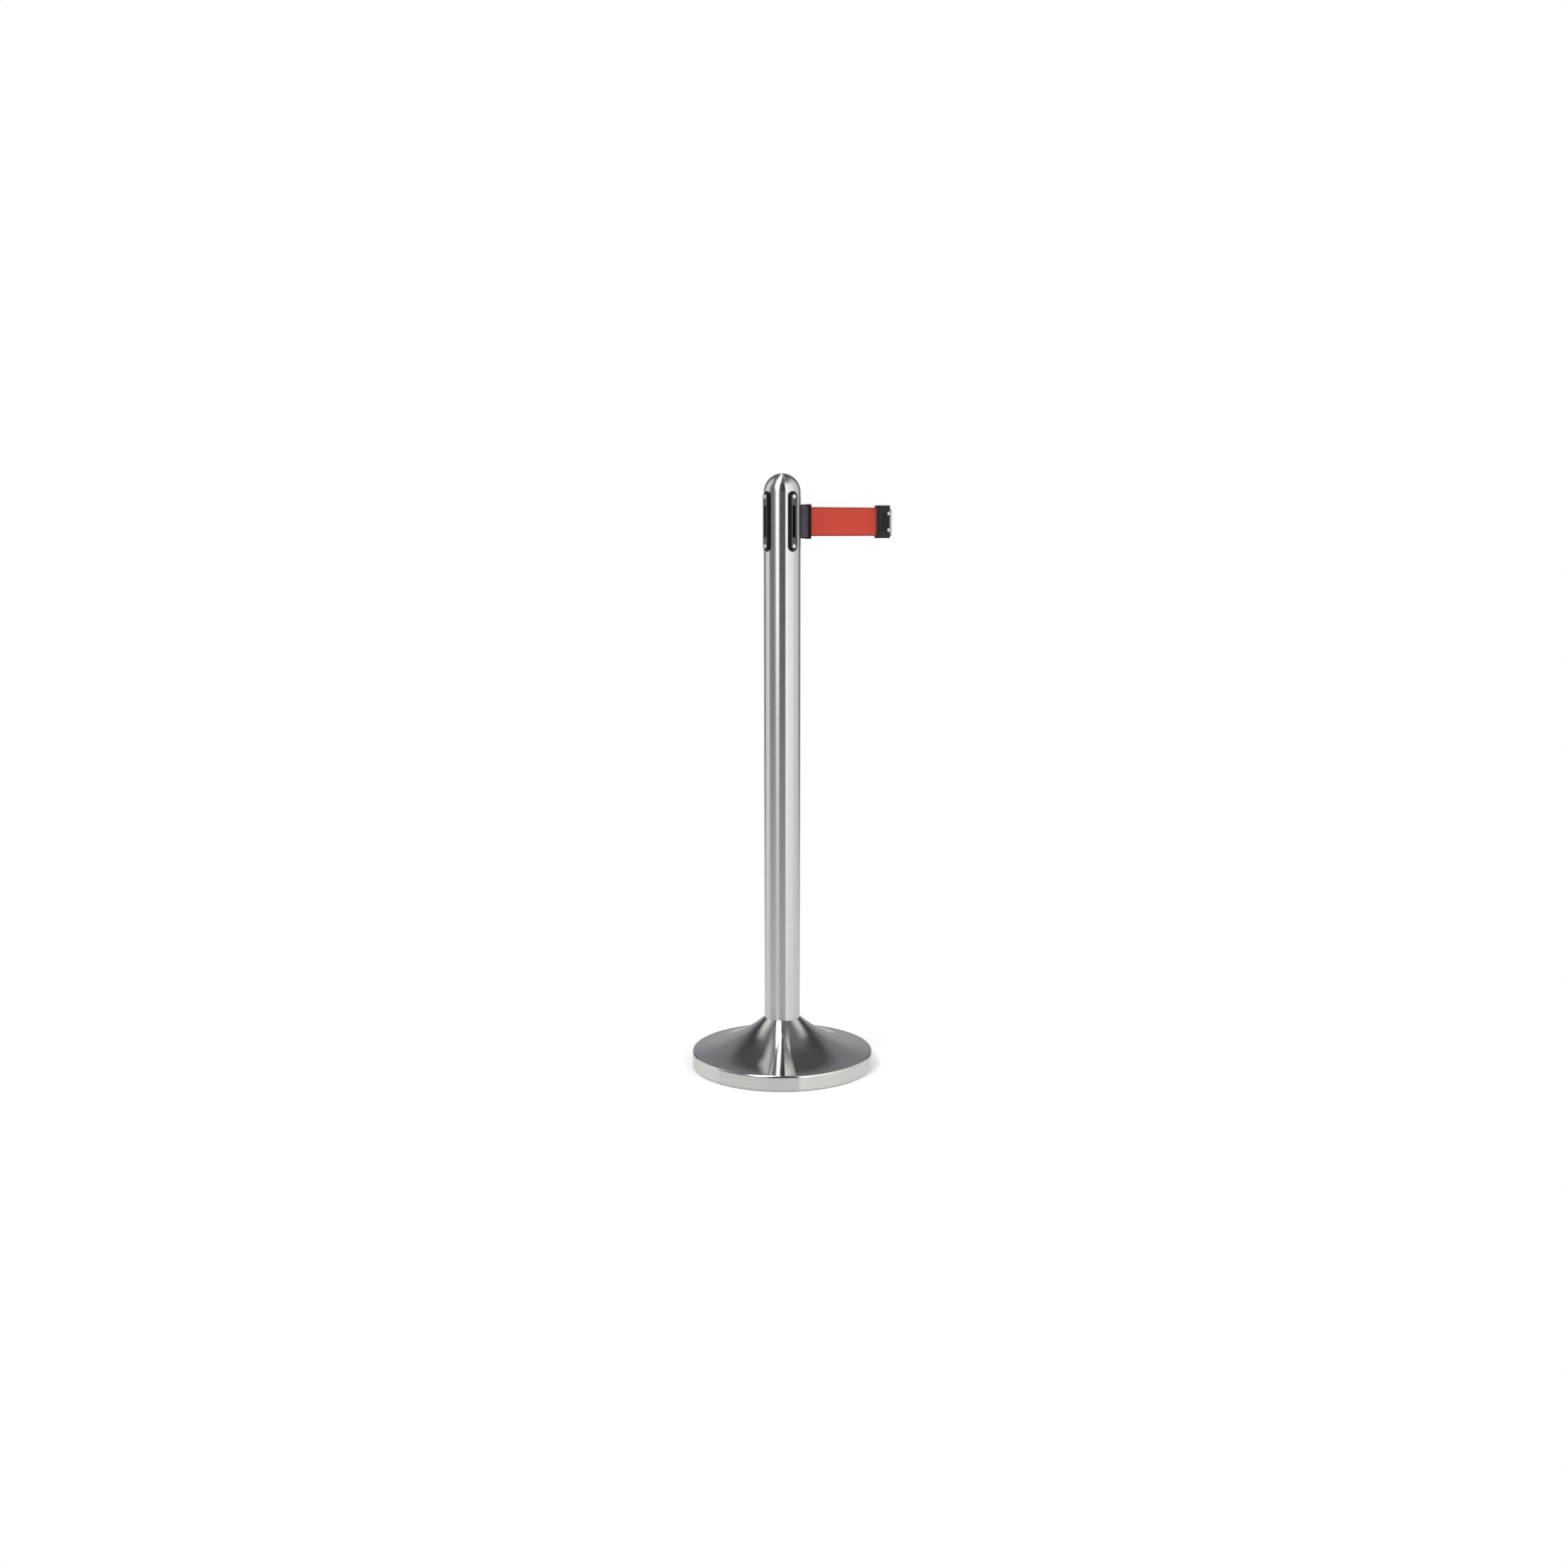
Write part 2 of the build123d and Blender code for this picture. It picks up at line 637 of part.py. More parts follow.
# ---- Spring motor under the cassette ----
with BuildPart() as spring_housing:
    with BuildSketch(Plane.XY.offset(housing_low_z)):
        Circle(housing_radius)
    extrude(amount=housing_high_z - housing_low_z)
    with BuildSketch(Plane.XY.offset(housing_low_z)):
        Circle(housing_inner_radius)
    extrude(amount=housing_high_z - housing_low_z - housing_roof, mode=Mode.SUBTRACT)
    with BuildSketch(Plane.XY.offset(housing_low_z)):
        Circle(shaft_clear_radius)
        with PolarLocations(small_screw_ring, len(corner_angles), start_angle=corner_angles[0]):
            Circle(small_screw_radius + 2 * hole_gap)
    extrude(amount=housing_high_z - housing_low_z, mode=Mode.SUBTRACT)
spring_housing.part.label = "spring_housing"
export_step(spring_housing.part, "parts/spring_housing.step")

lid_low_z = housing_low_z - lid_height
with BuildPart() as spring_lid:
    with BuildSketch(Plane.XY.offset(lid_low_z)):
        Circle(housing_radius)
        Circle(shaft_radius + hole_gap, mode=Mode.SUBTRACT)
        with PolarLocations(small_screw_ring, len(corner_angles), start_angle=corner_angles[0]):
            Circle(small_screw_radius + 2 * hole_gap, mode=Mode.SUBTRACT)
    extrude(amount=lid_height)
spring_lid.part.label = "spring_lid"
export_step(spring_lid.part, "parts/spring_lid.step")

with BuildPart() as housing_screws:
    with BuildSketch(Plane.XY.offset(lid_low_z)):
        with PolarLocations(small_screw_ring, len(corner_angles), start_angle=corner_angles[0]):
            Circle(small_screw_radius)
    extrude(amount=cassette_low_z + small_screw_depth - pilot_extra - lid_low_z)
    with BuildSketch(Plane.XY.offset(lid_low_z - small_head_height)):
        with PolarLocations(small_screw_ring, len(corner_angles), start_angle=corner_angles[0]):
            Circle(small_head_radius)
    extrude(amount=small_head_height)
    fillet(housing_screws.edges().group_by(Axis.Z)[0], radius=small_head_height / 3)
housing_screws.part.label = "housing_screws"
export_step(housing_screws.part, "parts/housing_screws.step")

# Flat spiral spring, each turn two half circles about centres half a pitch apart
with BuildPart() as power_spring:
    with BuildSketch(Plane.XY.offset(spring_low_z)):
        with BuildLine():
            for edge_shift in (-spring_strip / 2, spring_strip / 2):
                for turn in range(spring_turns):
                    near_radius = spring_start_radius + turn * spring_pitch + edge_shift
                    CenterArc((0, 0), near_radius, 0, 180)
                    far_radius = near_radius + spring_pitch / 2
                    CenterArc((spring_pitch / 2, 0), far_radius, 180, 180)
            for end_radius in (spring_start_radius, spring_start_radius + spring_turns * spring_pitch):
                Line((end_radius - spring_strip / 2, 0), (end_radius + spring_strip / 2, 0))
        make_face()
    extrude(amount=spring_high_z - spring_low_z)
power_spring.part.label = "power_spring"
export_step(power_spring.part, "parts/power_spring.step")

# ---- Spool ----
with BuildPart() as spool_shaft:
    with BuildSketch(Plane.XY.offset(shaft_low_z)):
        Circle(shaft_radius)
    extrude(amount=shaft_high_z - shaft_low_z)
    chamfer(spool_shaft.edges().filter_by(GeomType.CIRCLE), length=shaft_radius / 6)
spool_shaft.part.label = "spool_shaft"
export_step(spool_shaft.part, "parts/spool_shaft.step")

with BuildPart() as spring_arbor:
    with BuildSketch(Plane.XY.offset(arbor_low_z)):
        Circle(arbor_radius)
        Circle(shaft_radius + press_gap, mode=Mode.SUBTRACT)
        with Locations((arbor_radius, 0)):
            Rectangle(arbor_radius / 2, 2 * spring_strip, mode=Mode.SUBTRACT)
    extrude(amount=arbor_high_z - arbor_low_z)
spring_arbor.part.label = "spring_arbor"
export_step(spring_arbor.part, "parts/spring_arbor.step")

lower_flange_z = belt_low_z - flange_side_gap - flange_height
upper_flange_z = belt_low_z + belt_width + flange_side_gap
with BuildPart() as spool:
    with BuildSketch(Plane.XY.offset(spool_hub_low_z)):
        Circle(spool_hub_radius)
    extrude(amount=spool_hub_high_z - spool_hub_low_z)
    with BuildSketch(Plane.XY.offset(lower_flange_z)):
        Circle(flange_radius)
        with PolarLocations(flange_window_ring, flange_windows):
            Circle(flange_window_radius, mode=Mode.SUBTRACT)
    extrude(amount=flange_height)
    with BuildSketch(Plane.XY.offset(spool_hub_low_z)):
        Circle(shaft_radius + press_gap)
    extrude(amount=spool_hub_high_z - spool_hub_low_z, mode=Mode.SUBTRACT)
spool.part.label = "spool"
export_step(spool.part, "parts/spool.step")

with BuildPart() as spool_top_flange:
    with BuildSketch(Plane.XY.offset(upper_flange_z)):
        Circle(flange_radius)
        Circle(spool_hub_radius + press_gap, mode=Mode.SUBTRACT)
        with PolarLocations(flange_window_ring, flange_windows):
            Circle(flange_window_radius, mode=Mode.SUBTRACT)
    extrude(amount=flange_height)
spool_top_flange.part.label = "spool_top_flange"
export_step(spool_top_flange.part, "parts/spool_top_flange.step")

# ---- Belt ----
# The wound part, without its outermost layer, which belongs to the running part.
with BuildPart() as wound_belt:
    with BuildSketch(Plane.XY.offset(belt_low_z)):
        Circle(wound_radius - belt_thickness - moving_gap)
        Circle(spool_hub_radius + press_gap, mode=Mode.SUBTRACT)
    extrude(amount=belt_width)
wound_belt.part.label = "wound_belt"
export_step(wound_belt.part, "parts/wound_belt.step")

# From the coil the belt crosses to the guide pin, bends round it, runs straight out of the
# mouthpiece and ends in a loop about the clip's pin.
coil_line_radius = wound_radius - belt_half
bend_radius = guide_pin_y
pin_distance = math.hypot(guide_pin_x, guide_pin_y)
pin_bearing = -math.degrees(math.atan2(guide_pin_y, guide_pin_x))
leave_angle = pin_bearing - math.degrees(math.acos((coil_line_radius + bend_radius) / pin_distance))
leave_normal = Vector(1, 0, 0).rotate(Axis.Z, leave_angle)
pin_centre = Vector(guide_pin_x, -guide_pin_y, 0)
belt_loop_x = clip_x + clip_pin_x
loop_inner_radius = clip_pin_radius + belt_loop_gap
run_ends = []
with BuildPart() as belt_run:
    with BuildSketch(Plane.XY.offset(belt_low_z)):
        with BuildLine():
            for side in (-belt_half, belt_half):
                coil_point = leave_normal * (coil_line_radius + side)
                pin_point = pin_centre - leave_normal * (bend_radius - side)
                across = Line(coil_point, pin_point)
                bend = CenterArc(pin_centre, bend_radius - side, leave_angle + 180, -leave_angle - 90)
                straight = Line(bend @ 1, (belt_loop_x - loop_inner_radius - belt_half, -side))
                run_ends.append((across @ 0, straight @ 1))
            Line(run_ends[0][0], run_ends[1][0])
            Line(run_ends[0][1], run_ends[1][1])
        make_face()
        with Locations((belt_loop_x, 0)):
            Circle(loop_inner_radius + belt_thickness)
            Circle(loop_inner_radius, mode=Mode.SUBTRACT)
    extrude(amount=belt_width)
belt_run.part.label = "belt_run"
export_step(belt_run.part, "parts/belt_run.step")


# ---- End clip ----
def clip_shell(side):
    """Half of the clip's casing: side is +1 for the +Y half and -1 for the -Y half."""
    outer_face = Plane.XZ.offset(-side * clip_depth / 2)
    middle_x = clip_x + clip_length / 2
    with BuildPart() as shell:
        with BuildSketch(Plane.XY.offset(head_z - clip_height / 2)):
            with Locations((middle_x, 0)):
                RectangleRounded(clip_length, clip_depth, clip_edge_radius)
        extrude(amount=clip_height)
        fillet(shell.faces().sort_by(Axis.Z)[-1].edges(), radius=clip_edge_radius / 2)
        fillet(shell.faces().sort_by(Axis.Z)[0].edges(), radius=clip_edge_radius / 2)
        with BuildSketch(Plane.XY.offset(head_z - clip_height)):
            with Locations((middle_x, -side * clip_depth)):
                Rectangle(2 * clip_length, 2 * clip_depth)
        extrude(amount=2 * clip_height, mode=Mode.SUBTRACT)
        with BuildSketch(Plane.XY.offset(head_z - clip_slot_height / 2)):
            with Locations((clip_x, 0)):
                Rectangle(2 * clip_pin_x, 2 * clip_slot_half)
            with Locations((belt_loop_x, 0)):
                Circle(clip_pin_pocket)
        extrude(amount=clip_slot_height, mode=Mode.SUBTRACT)
        root_height = tongue_root_height + 2 * tongue_fit
        with BuildSketch(Plane.XY.offset(head_z - root_height / 2)):
            with Locations((clip_x + tongue_root_x - tongue_fit + clip_length / 2, 0)):
                Rectangle(clip_length, tongue_thickness + 2 * tongue_fit)
        extrude(amount=root_height, mode=Mode.SUBTRACT)
        with BuildSketch(outer_face):
            with Locations((middle_x, head_z)):
                with GridLocations(clip_grip_pitch, 0, clip_grip_ribs, 1):
                    SlotOverall(clip_grip_height, clip_grip_width, rotation=90)
        extrude(amount=side * clip_grip_depth, mode=Mode.SUBTRACT)
        with BuildSketch(Plane.XZ.offset(clip_depth / 2)):
            with Locations((clip_x + clip_screw_x, head_z)):
                with GridLocations(0, 2 * clip_screw_z, 1, 2):
                    Circle(clip_screw_radius + hole_gap)
        extrude(amount=-clip_screw_head_depth - clip_screw_length, mode=Mode.SUBTRACT)
        with BuildSketch(Plane.XZ.offset(clip_depth / 2)):
            with Locations((clip_x + clip_screw_x, head_z)):
                with GridLocations(0, 2 * clip_screw_z, 1, 2):
                    Circle(clip_screw_head_radius + hole_gap)
        extrude(amount=-clip_screw_head_depth, mode=Mode.SUBTRACT)
    return shell.part


with BuildPart() as clip_shell_front:
    add(clip_shell(-1))
clip_shell_front.part.label = "clip_shell_front"
export_step(clip_shell_front.part, "parts/clip_shell_front.step")

with BuildPart() as clip_shell_back:
    add(clip_shell(1))
clip_shell_back.part.label = "clip_shell_back"
export_step(clip_shell_back.part, "parts/clip_shell_back.step")

# Flat tongue: a root held between the shells and a blade with a hook that drops behind a slot's lip
tongue_side = (clip_x, tongue_thickness / 2, head_z)
tongue_plane = Plane(origin=tongue_side, x_dir=(1, 0, 0), z_dir=(0, -1, 0))
with BuildPart() as clip_tongue:
    with BuildSketch(tongue_plane):
        with BuildLine():
            Polyline(
                (tongue_root_x, -tongue_root_height / 2),
                (clip_length, -tongue_root_height / 2),
                (clip_length, blade_low),
                (clip_length + hook_start, blade_low),
                (clip_length + hook_start, hook_low),
                (clip_length + blade_reach, hook_low),
                (clip_length + blade_reach, blade_high),
                (tongue_root_x, blade_high),
                close=True,
            )
        make_face()
    extrude(amount=tongue_thickness)
    nose = clip_tongue.edges().filter_by(Axis.Y).group_by(Axis.X)[-1]
    fillet(nose, radius=hook_start / 3)
    with BuildSketch(Plane.XZ.offset(-tongue_thickness)):
        with Locations((clip_x + clip_screw_x, head_z)):
            with GridLocations(0, 2 * clip_screw_z, 1, 2):
                Circle(clip_screw_radius + 2 * hole_gap)
    extrude(amount=2 * tongue_thickness, mode=Mode.SUBTRACT)
clip_tongue.part.label = "clip_tongue"
export_step(clip_tongue.part, "parts/clip_tongue.step")

with BuildPart() as clip_pin:
    with BuildSketch(Plane.XY.offset(head_z - clip_pin_height / 2)):
        with Locations((belt_loop_x, 0)):
            Circle(clip_pin_radius)
    extrude(amount=clip_pin_height)
clip_pin.part.label = "clip_pin"
export_step(clip_pin.part, "parts/clip_pin.step")

clip_head_seat = clip_depth / 2 - clip_screw_head_depth
with BuildPart() as clip_screws:
    with BuildSketch(Plane.XZ.offset(clip_head_seat)):
        with Locations((clip_x + clip_screw_x, head_z)):
            with GridLocations(0, 2 * clip_screw_z, 1, 2):
                Circle(clip_screw_head_radius)
    extrude(amount=clip_screw_head_depth - fit_gap)
    with BuildSketch(Plane.XZ.offset(clip_head_seat)):
        with Locations((clip_x + clip_screw_x, head_z)):
            with GridLocations(0, 2 * clip_screw_z, 1, 2):
                Circle(clip_screw_radius)
    extrude(amount=-clip_screw_length)
    with BuildSketch(Plane.XZ.offset(clip_depth / 2 - fit_gap)):
        with Locations((clip_x + clip_screw_x, head_z)):
            with GridLocations(0, 2 * clip_screw_z, 1, 2):
                Rectangle(cross_length, cross_width)
                Rectangle(cross_width, cross_length)
    extrude(amount=-cross_depth, mode=Mode.SUBTRACT)
clip_screws.part.label = "clip_screws"
export_step(clip_screws.part, "parts/clip_screws.step")
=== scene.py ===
import json
import math

import bmesh
import bpy
from mathutils import Matrix, Vector


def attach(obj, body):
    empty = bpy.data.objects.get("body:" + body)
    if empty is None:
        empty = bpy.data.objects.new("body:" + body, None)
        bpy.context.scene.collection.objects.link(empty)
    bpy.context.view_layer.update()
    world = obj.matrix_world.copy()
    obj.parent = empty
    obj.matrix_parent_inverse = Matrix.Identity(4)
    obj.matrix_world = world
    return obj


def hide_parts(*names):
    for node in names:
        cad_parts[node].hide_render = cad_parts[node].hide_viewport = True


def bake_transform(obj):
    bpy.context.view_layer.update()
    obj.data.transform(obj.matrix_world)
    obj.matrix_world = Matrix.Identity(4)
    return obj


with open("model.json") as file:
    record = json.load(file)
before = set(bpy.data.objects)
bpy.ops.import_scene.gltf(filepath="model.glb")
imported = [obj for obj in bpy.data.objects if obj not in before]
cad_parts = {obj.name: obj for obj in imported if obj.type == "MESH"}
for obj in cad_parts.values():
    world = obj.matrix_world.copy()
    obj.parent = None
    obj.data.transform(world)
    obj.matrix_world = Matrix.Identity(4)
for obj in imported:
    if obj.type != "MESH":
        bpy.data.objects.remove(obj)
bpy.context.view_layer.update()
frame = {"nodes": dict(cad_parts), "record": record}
nodes = frame["nodes"]

MM = 0.001

# ---- The photograph's view: the camera stands about 2.9 m away, a little below the head's middle ----
VIEW_AZIMUTH = math.radians(-35.0)
VIEW_BACK = 2.8585
VIEW_SIDE = 0.003
VIEW_HEIGHT = 0.9094
VIEW_PITCH = math.radians(8.43)
LENS_MM = 39.47
SENSOR_MM = 36.0
AHEAD = Vector((-math.sin(VIEW_AZIMUTH), math.cos(VIEW_AZIMUTH), 0.0))
RIGHT = Vector((math.cos(VIEW_AZIMUTH), math.sin(VIEW_AZIMUTH), 0.0))
UP = Vector((0.0, 0.0, 1.0))

scene = bpy.context.scene
scene.view_settings.view_transform = "Standard"


def link(obj):
    scene.collection.objects.link(obj)
    return obj


def evenly(start, end, steps):
    """Values from start to end in equal steps, both ends included."""
    return [start + (end - start) * step / steps for step in range(steps + 1)]


camera_data = bpy.data.cameras.new("photo_camera")
camera_data.sensor_width = SENSOR_MM
camera_data.lens = LENS_MM
camera_data.clip_start = 0.05
camera_data.clip_end = 60.0
camera = link(bpy.data.objects.new("photo_camera", camera_data))
camera.location = -VIEW_BACK * AHEAD + VIEW_SIDE * RIGHT + VIEW_HEIGHT * UP
gaze = AHEAD * math.cos(VIEW_PITCH) - UP * math.sin(VIEW_PITCH)
camera.rotation_mode = "QUATERNION"
camera.rotation_quaternion = gaze.to_track_quat("-Z", "Y")
scene.camera = camera


# ---- Node helpers ----
NOISE_RANGE = (0.3, 0.7)
MIX_FACTOR, MIX_FIRST, MIX_SECOND = 0, 6, 7
MIX_COLOUR = 2


class Graph:
    """A material's node tree, with short calls for adding and joining nodes."""

    def __init__(self, owner):
        owner.use_nodes = True
        self.tree = owner.node_tree
        self.tree.nodes.clear()

    def add(self, kind, inputs=None, **settings):
        made = self.tree.nodes.new("ShaderNode" + kind)
        for name, value in settings.items():
            setattr(made, name, value)
        for key, value in (inputs or {}).items():
            if isinstance(value, bpy.types.NodeSocket):
                self.tree.links.new(value, made.inputs[key])
            else:
                made.inputs[key].default_value = value
        return made

    def math(self, operation, *values):
        return self.add("Math", dict(enumerate(values)), operation=operation).outputs[0]

    def vector(self, operation, *values):
        made = self.add("VectorMath", dict(enumerate(values)), operation=operation)
        return made.outputs["Value" if operation == "LENGTH" else "Vector"]

    def scaled(self, vector, factors):
        return self.vector("MULTIPLY", vector, factors)

    def noise(self, vector, scale, detail=2.0, rough=0.5, w=None):
        """Noise over a place, or over a place and w where w is given."""
        inputs = {"Vector": vector, "Scale": scale, "Detail": detail, "Roughness": rough}
        if w is None:
            return self.add("TexNoise", inputs).outputs["Fac"]
        return self.add("TexNoise", {**inputs, "W": w}, noise_dimensions="4D").outputs["Fac"]

    def spread(self, value, low, high, start=0.0, end=1.0):
        """Maps value from start..end to low..high, held at both ends."""
        inputs = {"Value": value, "From Min": start, "From Max": end, "To Min": low, "To Max": high}
        return self.add("MapRange", inputs, clamp=True).outputs["Result"]

    def vary(self, noise, low, high):
        """Maps noise, most of which lies within NOISE_RANGE, to low..high."""
        return self.spread(noise, low, high, *NOISE_RANGE)

    def blend(self, factor, first, second):
        inputs = {MIX_FACTOR: factor, MIX_FIRST: first, MIX_SECOND: second}
        return self.add("Mix", inputs, data_type="RGBA").outputs[MIX_COLOUR]

    def shaded(self, colour, shade):
        """Colour times shade, the same in all three channels."""
        channels = self.add("CombineXYZ", {0: shade, 1: shade, 2: shade}).outputs[0]
        return self.vector("MULTIPLY", colour, channels)

    def bump(self, height, distance, strength):
        inputs = {"Height": height, "Distance": distance, "Strength": strength}
        return self.add("Bump", inputs).outputs["Normal"]

    def output(self, shader):
        self.add("OutputMaterial", {"Surface": shader})


def grey(value):
    return (value, value, value, 1.0)


# ---- Steel ----
FINE_LINES = 1900.0
FINE_SWEEP = 2.2
BROAD_LINES = 260.0
BROAD_SWEEP = 1.1
FINE_SHARE = 0.65
LINE_HEIGHT = 0.04 * MM
SMUDGE_SCALE = 11.0
QUARTER_TURN = 0.25


def spun_lines(g, position, sweep, lines):
    """Noise in thin rings about the Z axis.

    lines is its scale along the axis and outwards, per metre, and sweep its scale round the axis.
    """
    flat = g.scaled(position, (1.0, 1.0, 0.0))
    radius = g.vector("LENGTH", flat)
    around = g.scaled(g.vector("NORMALIZE", flat), (sweep, sweep, 0.0))
    outward = g.add("CombineXYZ", {"Z": g.math("MULTIPLY", radius, lines)}).outputs[0]
    height = g.math("MULTIPLY", g.add("SeparateXYZ", {0: position}).outputs["Z"], lines)
    return g.noise(g.vector("ADD", around, outward), 1.0, detail=3.0, rough=0.65, w=height)


def brushed_steel(name, tint, rough, anisotropy, depth):
    """Stainless steel polished round the Z axis, so that it spreads light along the axis."""
    material = bpy.data.materials.new(name)
    g = Graph(material)
    position = g.add("TexCoord").outputs["Object"]
    fine = spun_lines(g, position, FINE_SWEEP, FINE_LINES)
    broad = spun_lines(g, position, BROAD_SWEEP, BROAD_LINES)
    smudge = g.noise(position, SMUDGE_SCALE, detail=4.0, rough=0.6)
    lines = g.math("ADD", g.math("MULTIPLY", fine, FINE_SHARE), g.math("MULTIPLY", broad, 1 - FINE_SHARE))
    polish = g.math("ADD", g.vary(lines, -0.02, 0.02), g.vary(smudge, -0.01, 0.015))
    tangent = g.add("Tangent", direction_type="RADIAL", axis="Z").outputs[0]
    shader = g.add("BsdfPrincipled", {
        "Base Color": g.shaded(tint, g.vary(lines, 0.93, 1.07)),
        "Metallic": 1.0,
        "Roughness": g.math("ADD", polish, rough),
        "Anisotropic": anisotropy,
        "Anisotropic Rotation": QUARTER_TURN,
        "Tangent": tangent,
        "Normal": g.bump(fine, LINE_HEIGHT, depth),
    })
    g.output(shader.outputs[0])
    return material


GRAINS_PER_PATCH = 25.0
METAL_GRAIN_HEIGHT = 0.1 * MM


def even_metal(name, tint, rough, grain, depth):
    """Machined, plated or cast metal with an even grain and broad, faint patches."""
    material = bpy.data.materials.new(name)
    g = Graph(material)
    position = g.add("TexCoord").outputs["Object"]
    speckle = g.noise(position, grain, detail=4.0, rough=0.6)
    patch = g.noise(position, grain / GRAINS_PER_PATCH, detail=3.0)
    shader = g.add("BsdfPrincipled", {
        "Base Color": g.shaded(tint, g.vary(patch, 0.85, 1.12)),
        "Metallic": 1.0,
        "Roughness": g.vary(speckle, rough - 0.06, rough + 0.08),
        "Normal": g.bump(speckle, METAL_GRAIN_HEIGHT, depth),
    })
    g.output(shader.outputs[0])
    return material


# ---- Plastics and rubber ----
# The side plates are one black plastic painted as lit and shaded copies: a paler sunk face is painted
# light, and a near-black rim and slot are painted shade. Both are found from the place on the plate.
HEAD_Z = 0.922
PLATE_HALF_SPINE = 40.0 * MM
SLOT_HALF_WIDTH = 2.8 * MM
SLOT_HALF_HEIGHT = 25.8 * MM
RECEIVER_FACE_RADIUS = 4.6 * MM
MOUTH_FACE_RADIUS = 5.9 * MM
MOUTH_PLATE_X = 33.2 * MM
MOUTH_LIP_X = 47.0 * MM
NOZZLE_HALF_HEIGHT = 25.9 * MM
EDGE = 0.1 * MM


def above(g, value, limit):
    return g.spread(value, 0.0, 1.0, limit - EDGE, limit + EDGE)


def below(g, value, limit):
    return g.spread(value, 1.0, 0.0, limit - EDGE, limit + EDGE)


def place_on_plate(g, position):
    """Distance across a side plate from its middle line, and height above or below the head's middle."""
    axes = g.add("SeparateXYZ", {0: position}).outputs
    across = g.math("MINIMUM", g.math("ABSOLUTE", axes["X"]), g.math("ABSOLUTE", axes["Y"]))
    rise = g.math("ABSOLUTE", g.math("SUBTRACT", axes["Z"], HEAD_Z))
    return across, rise


def sunk_face(g, across, rise, radius):
    """1 on the sunk face of an obround plate, painted light; 0 on its bevelled rim and inside its slot,
    painted shade.
    """
    past_spine = g.math("MAXIMUM", g.math("SUBTRACT", rise, PLATE_HALF_SPINE), 0.0)
    square = g.math("ADD", g.math("MULTIPLY", across, across), g.math("MULTIPLY", past_spine, past_spine))
    lit_face = below(g, g.math("SQRT", square), radius)
    # The slot's walls are painted black: painted shade
    slot_painted_shade = g.math("MULTIPLY", below(g, across, SLOT_HALF_WIDTH), below(g, rise, SLOT_HALF_HEIGHT))
    return g.math("MULTIPLY", lit_face, g.math("SUBTRACT", 1.0, slot_painted_shade))


def receiver_lit_face(g, position):
    across, rise = place_on_plate(g, position)
    return sunk_face(g, across, rise, RECEIVER_FACE_RADIUS)


def mouth_lit_face(g, position):
    """1 on the mouthpiece's plate face and on the flat sides of its nozzle, painted light; 0 on its rims
    and lip, painted shade.
    """
    across, rise = place_on_plate(g, position)
    out = g.add("SeparateXYZ", {0: position}).outputs["X"]
    plate = sunk_face(g, across, rise, MOUTH_FACE_RADIUS)
    nozzle = g.math("MULTIPLY", below(g, rise, NOZZLE_HALF_HEIGHT), below(g, out, MOUTH_LIP_X))
    on_nozzle = above(g, out, MOUTH_PLATE_X)
    plate = g.math("MULTIPLY", plate, g.math("SUBTRACT", 1.0, on_nozzle))
    return g.math("ADD", plate, g.math("MULTIPLY", nozzle, on_nozzle))


CLOUD_SCALE = 60.0
SCUFF_SCALE = 900.0
SCUFF_STRETCH = (1.0, 1.0, 0.12)
SCUFF_GAIN = 0.35
PLASTIC_GRAIN_HEIGHT = 0.12 * MM
PLASTIC_IOR = 1.49


def moulded_plastic(name, tint, rough, grain=1700.0, depth=0.25, gloss=0.5, face=None, lit_face_tint=None):
    """Moulded plastic with a fine grain and upright scuffs. face marks where a second tint is used; on the
    side plates that paler tint is painted light and the main tint a painted-shade black.
    """
    material = bpy.data.materials.new(name)
    g = Graph(material)
    position = g.add("TexCoord").outputs["Object"]
    speckle = g.noise(position, grain, detail=3.0, rough=0.7)
    cloud = g.noise(position, CLOUD_SCALE, detail=4.0)
    scuff = g.noise(g.scaled(position, SCUFF_STRETCH), SCUFF_SCALE, detail=2.0)
    worn = g.math("MULTIPLY", g.spread(scuff, 0.0, 1.0, 0.62, 0.72), g.spread(cloud, 0.0, 1.0, 0.5, 0.65))
    shade = g.math("ADD", g.vary(cloud, 0.88, 1.12), g.math("MULTIPLY", worn, SCUFF_GAIN))
    colour = tint
    if face is not None:
        colour = g.blend(face(g, position), (*tint, 1.0), (*lit_face_tint, 1.0))
    shader = g.add("BsdfPrincipled", {
        "Base Color": g.shaded(colour, shade),
        "Roughness": g.vary(speckle, rough - 0.07, rough + 0.07),
        "IOR": PLASTIC_IOR,
        "Specular IOR Level": gloss,
        "Normal": g.bump(speckle, PLASTIC_GRAIN_HEIGHT, depth),
    })
    g.output(shader.outputs[0])
    return material


# ---- Belt webbing ----
BELT_WIDTH = 48.0 * MM
BELT_LOW = HEAD_Z - BELT_WIDTH / 2
WARP_PITCH = 0.85 * MM
WEFT_PITCH = 1.1 * MM
RIB_SHARE, PICK_SHARE, CROSSING_SHARE = 0.55, 0.25, 0.2
YARN_SCALES = (60.0, 1.0, 2600.0)
FUZZ_SCALE = 5200.0
FUZZ_SHARE = 0.25
FADE_SCALE = 14.0
EDGE_DARKENING = 0.55
EDGE_DARKENING_STARTS = 2.8 * MM
EDGE_DARKENING_FULL = 2.0 * MM
WEAVE_HEIGHT = 0.16 * MM


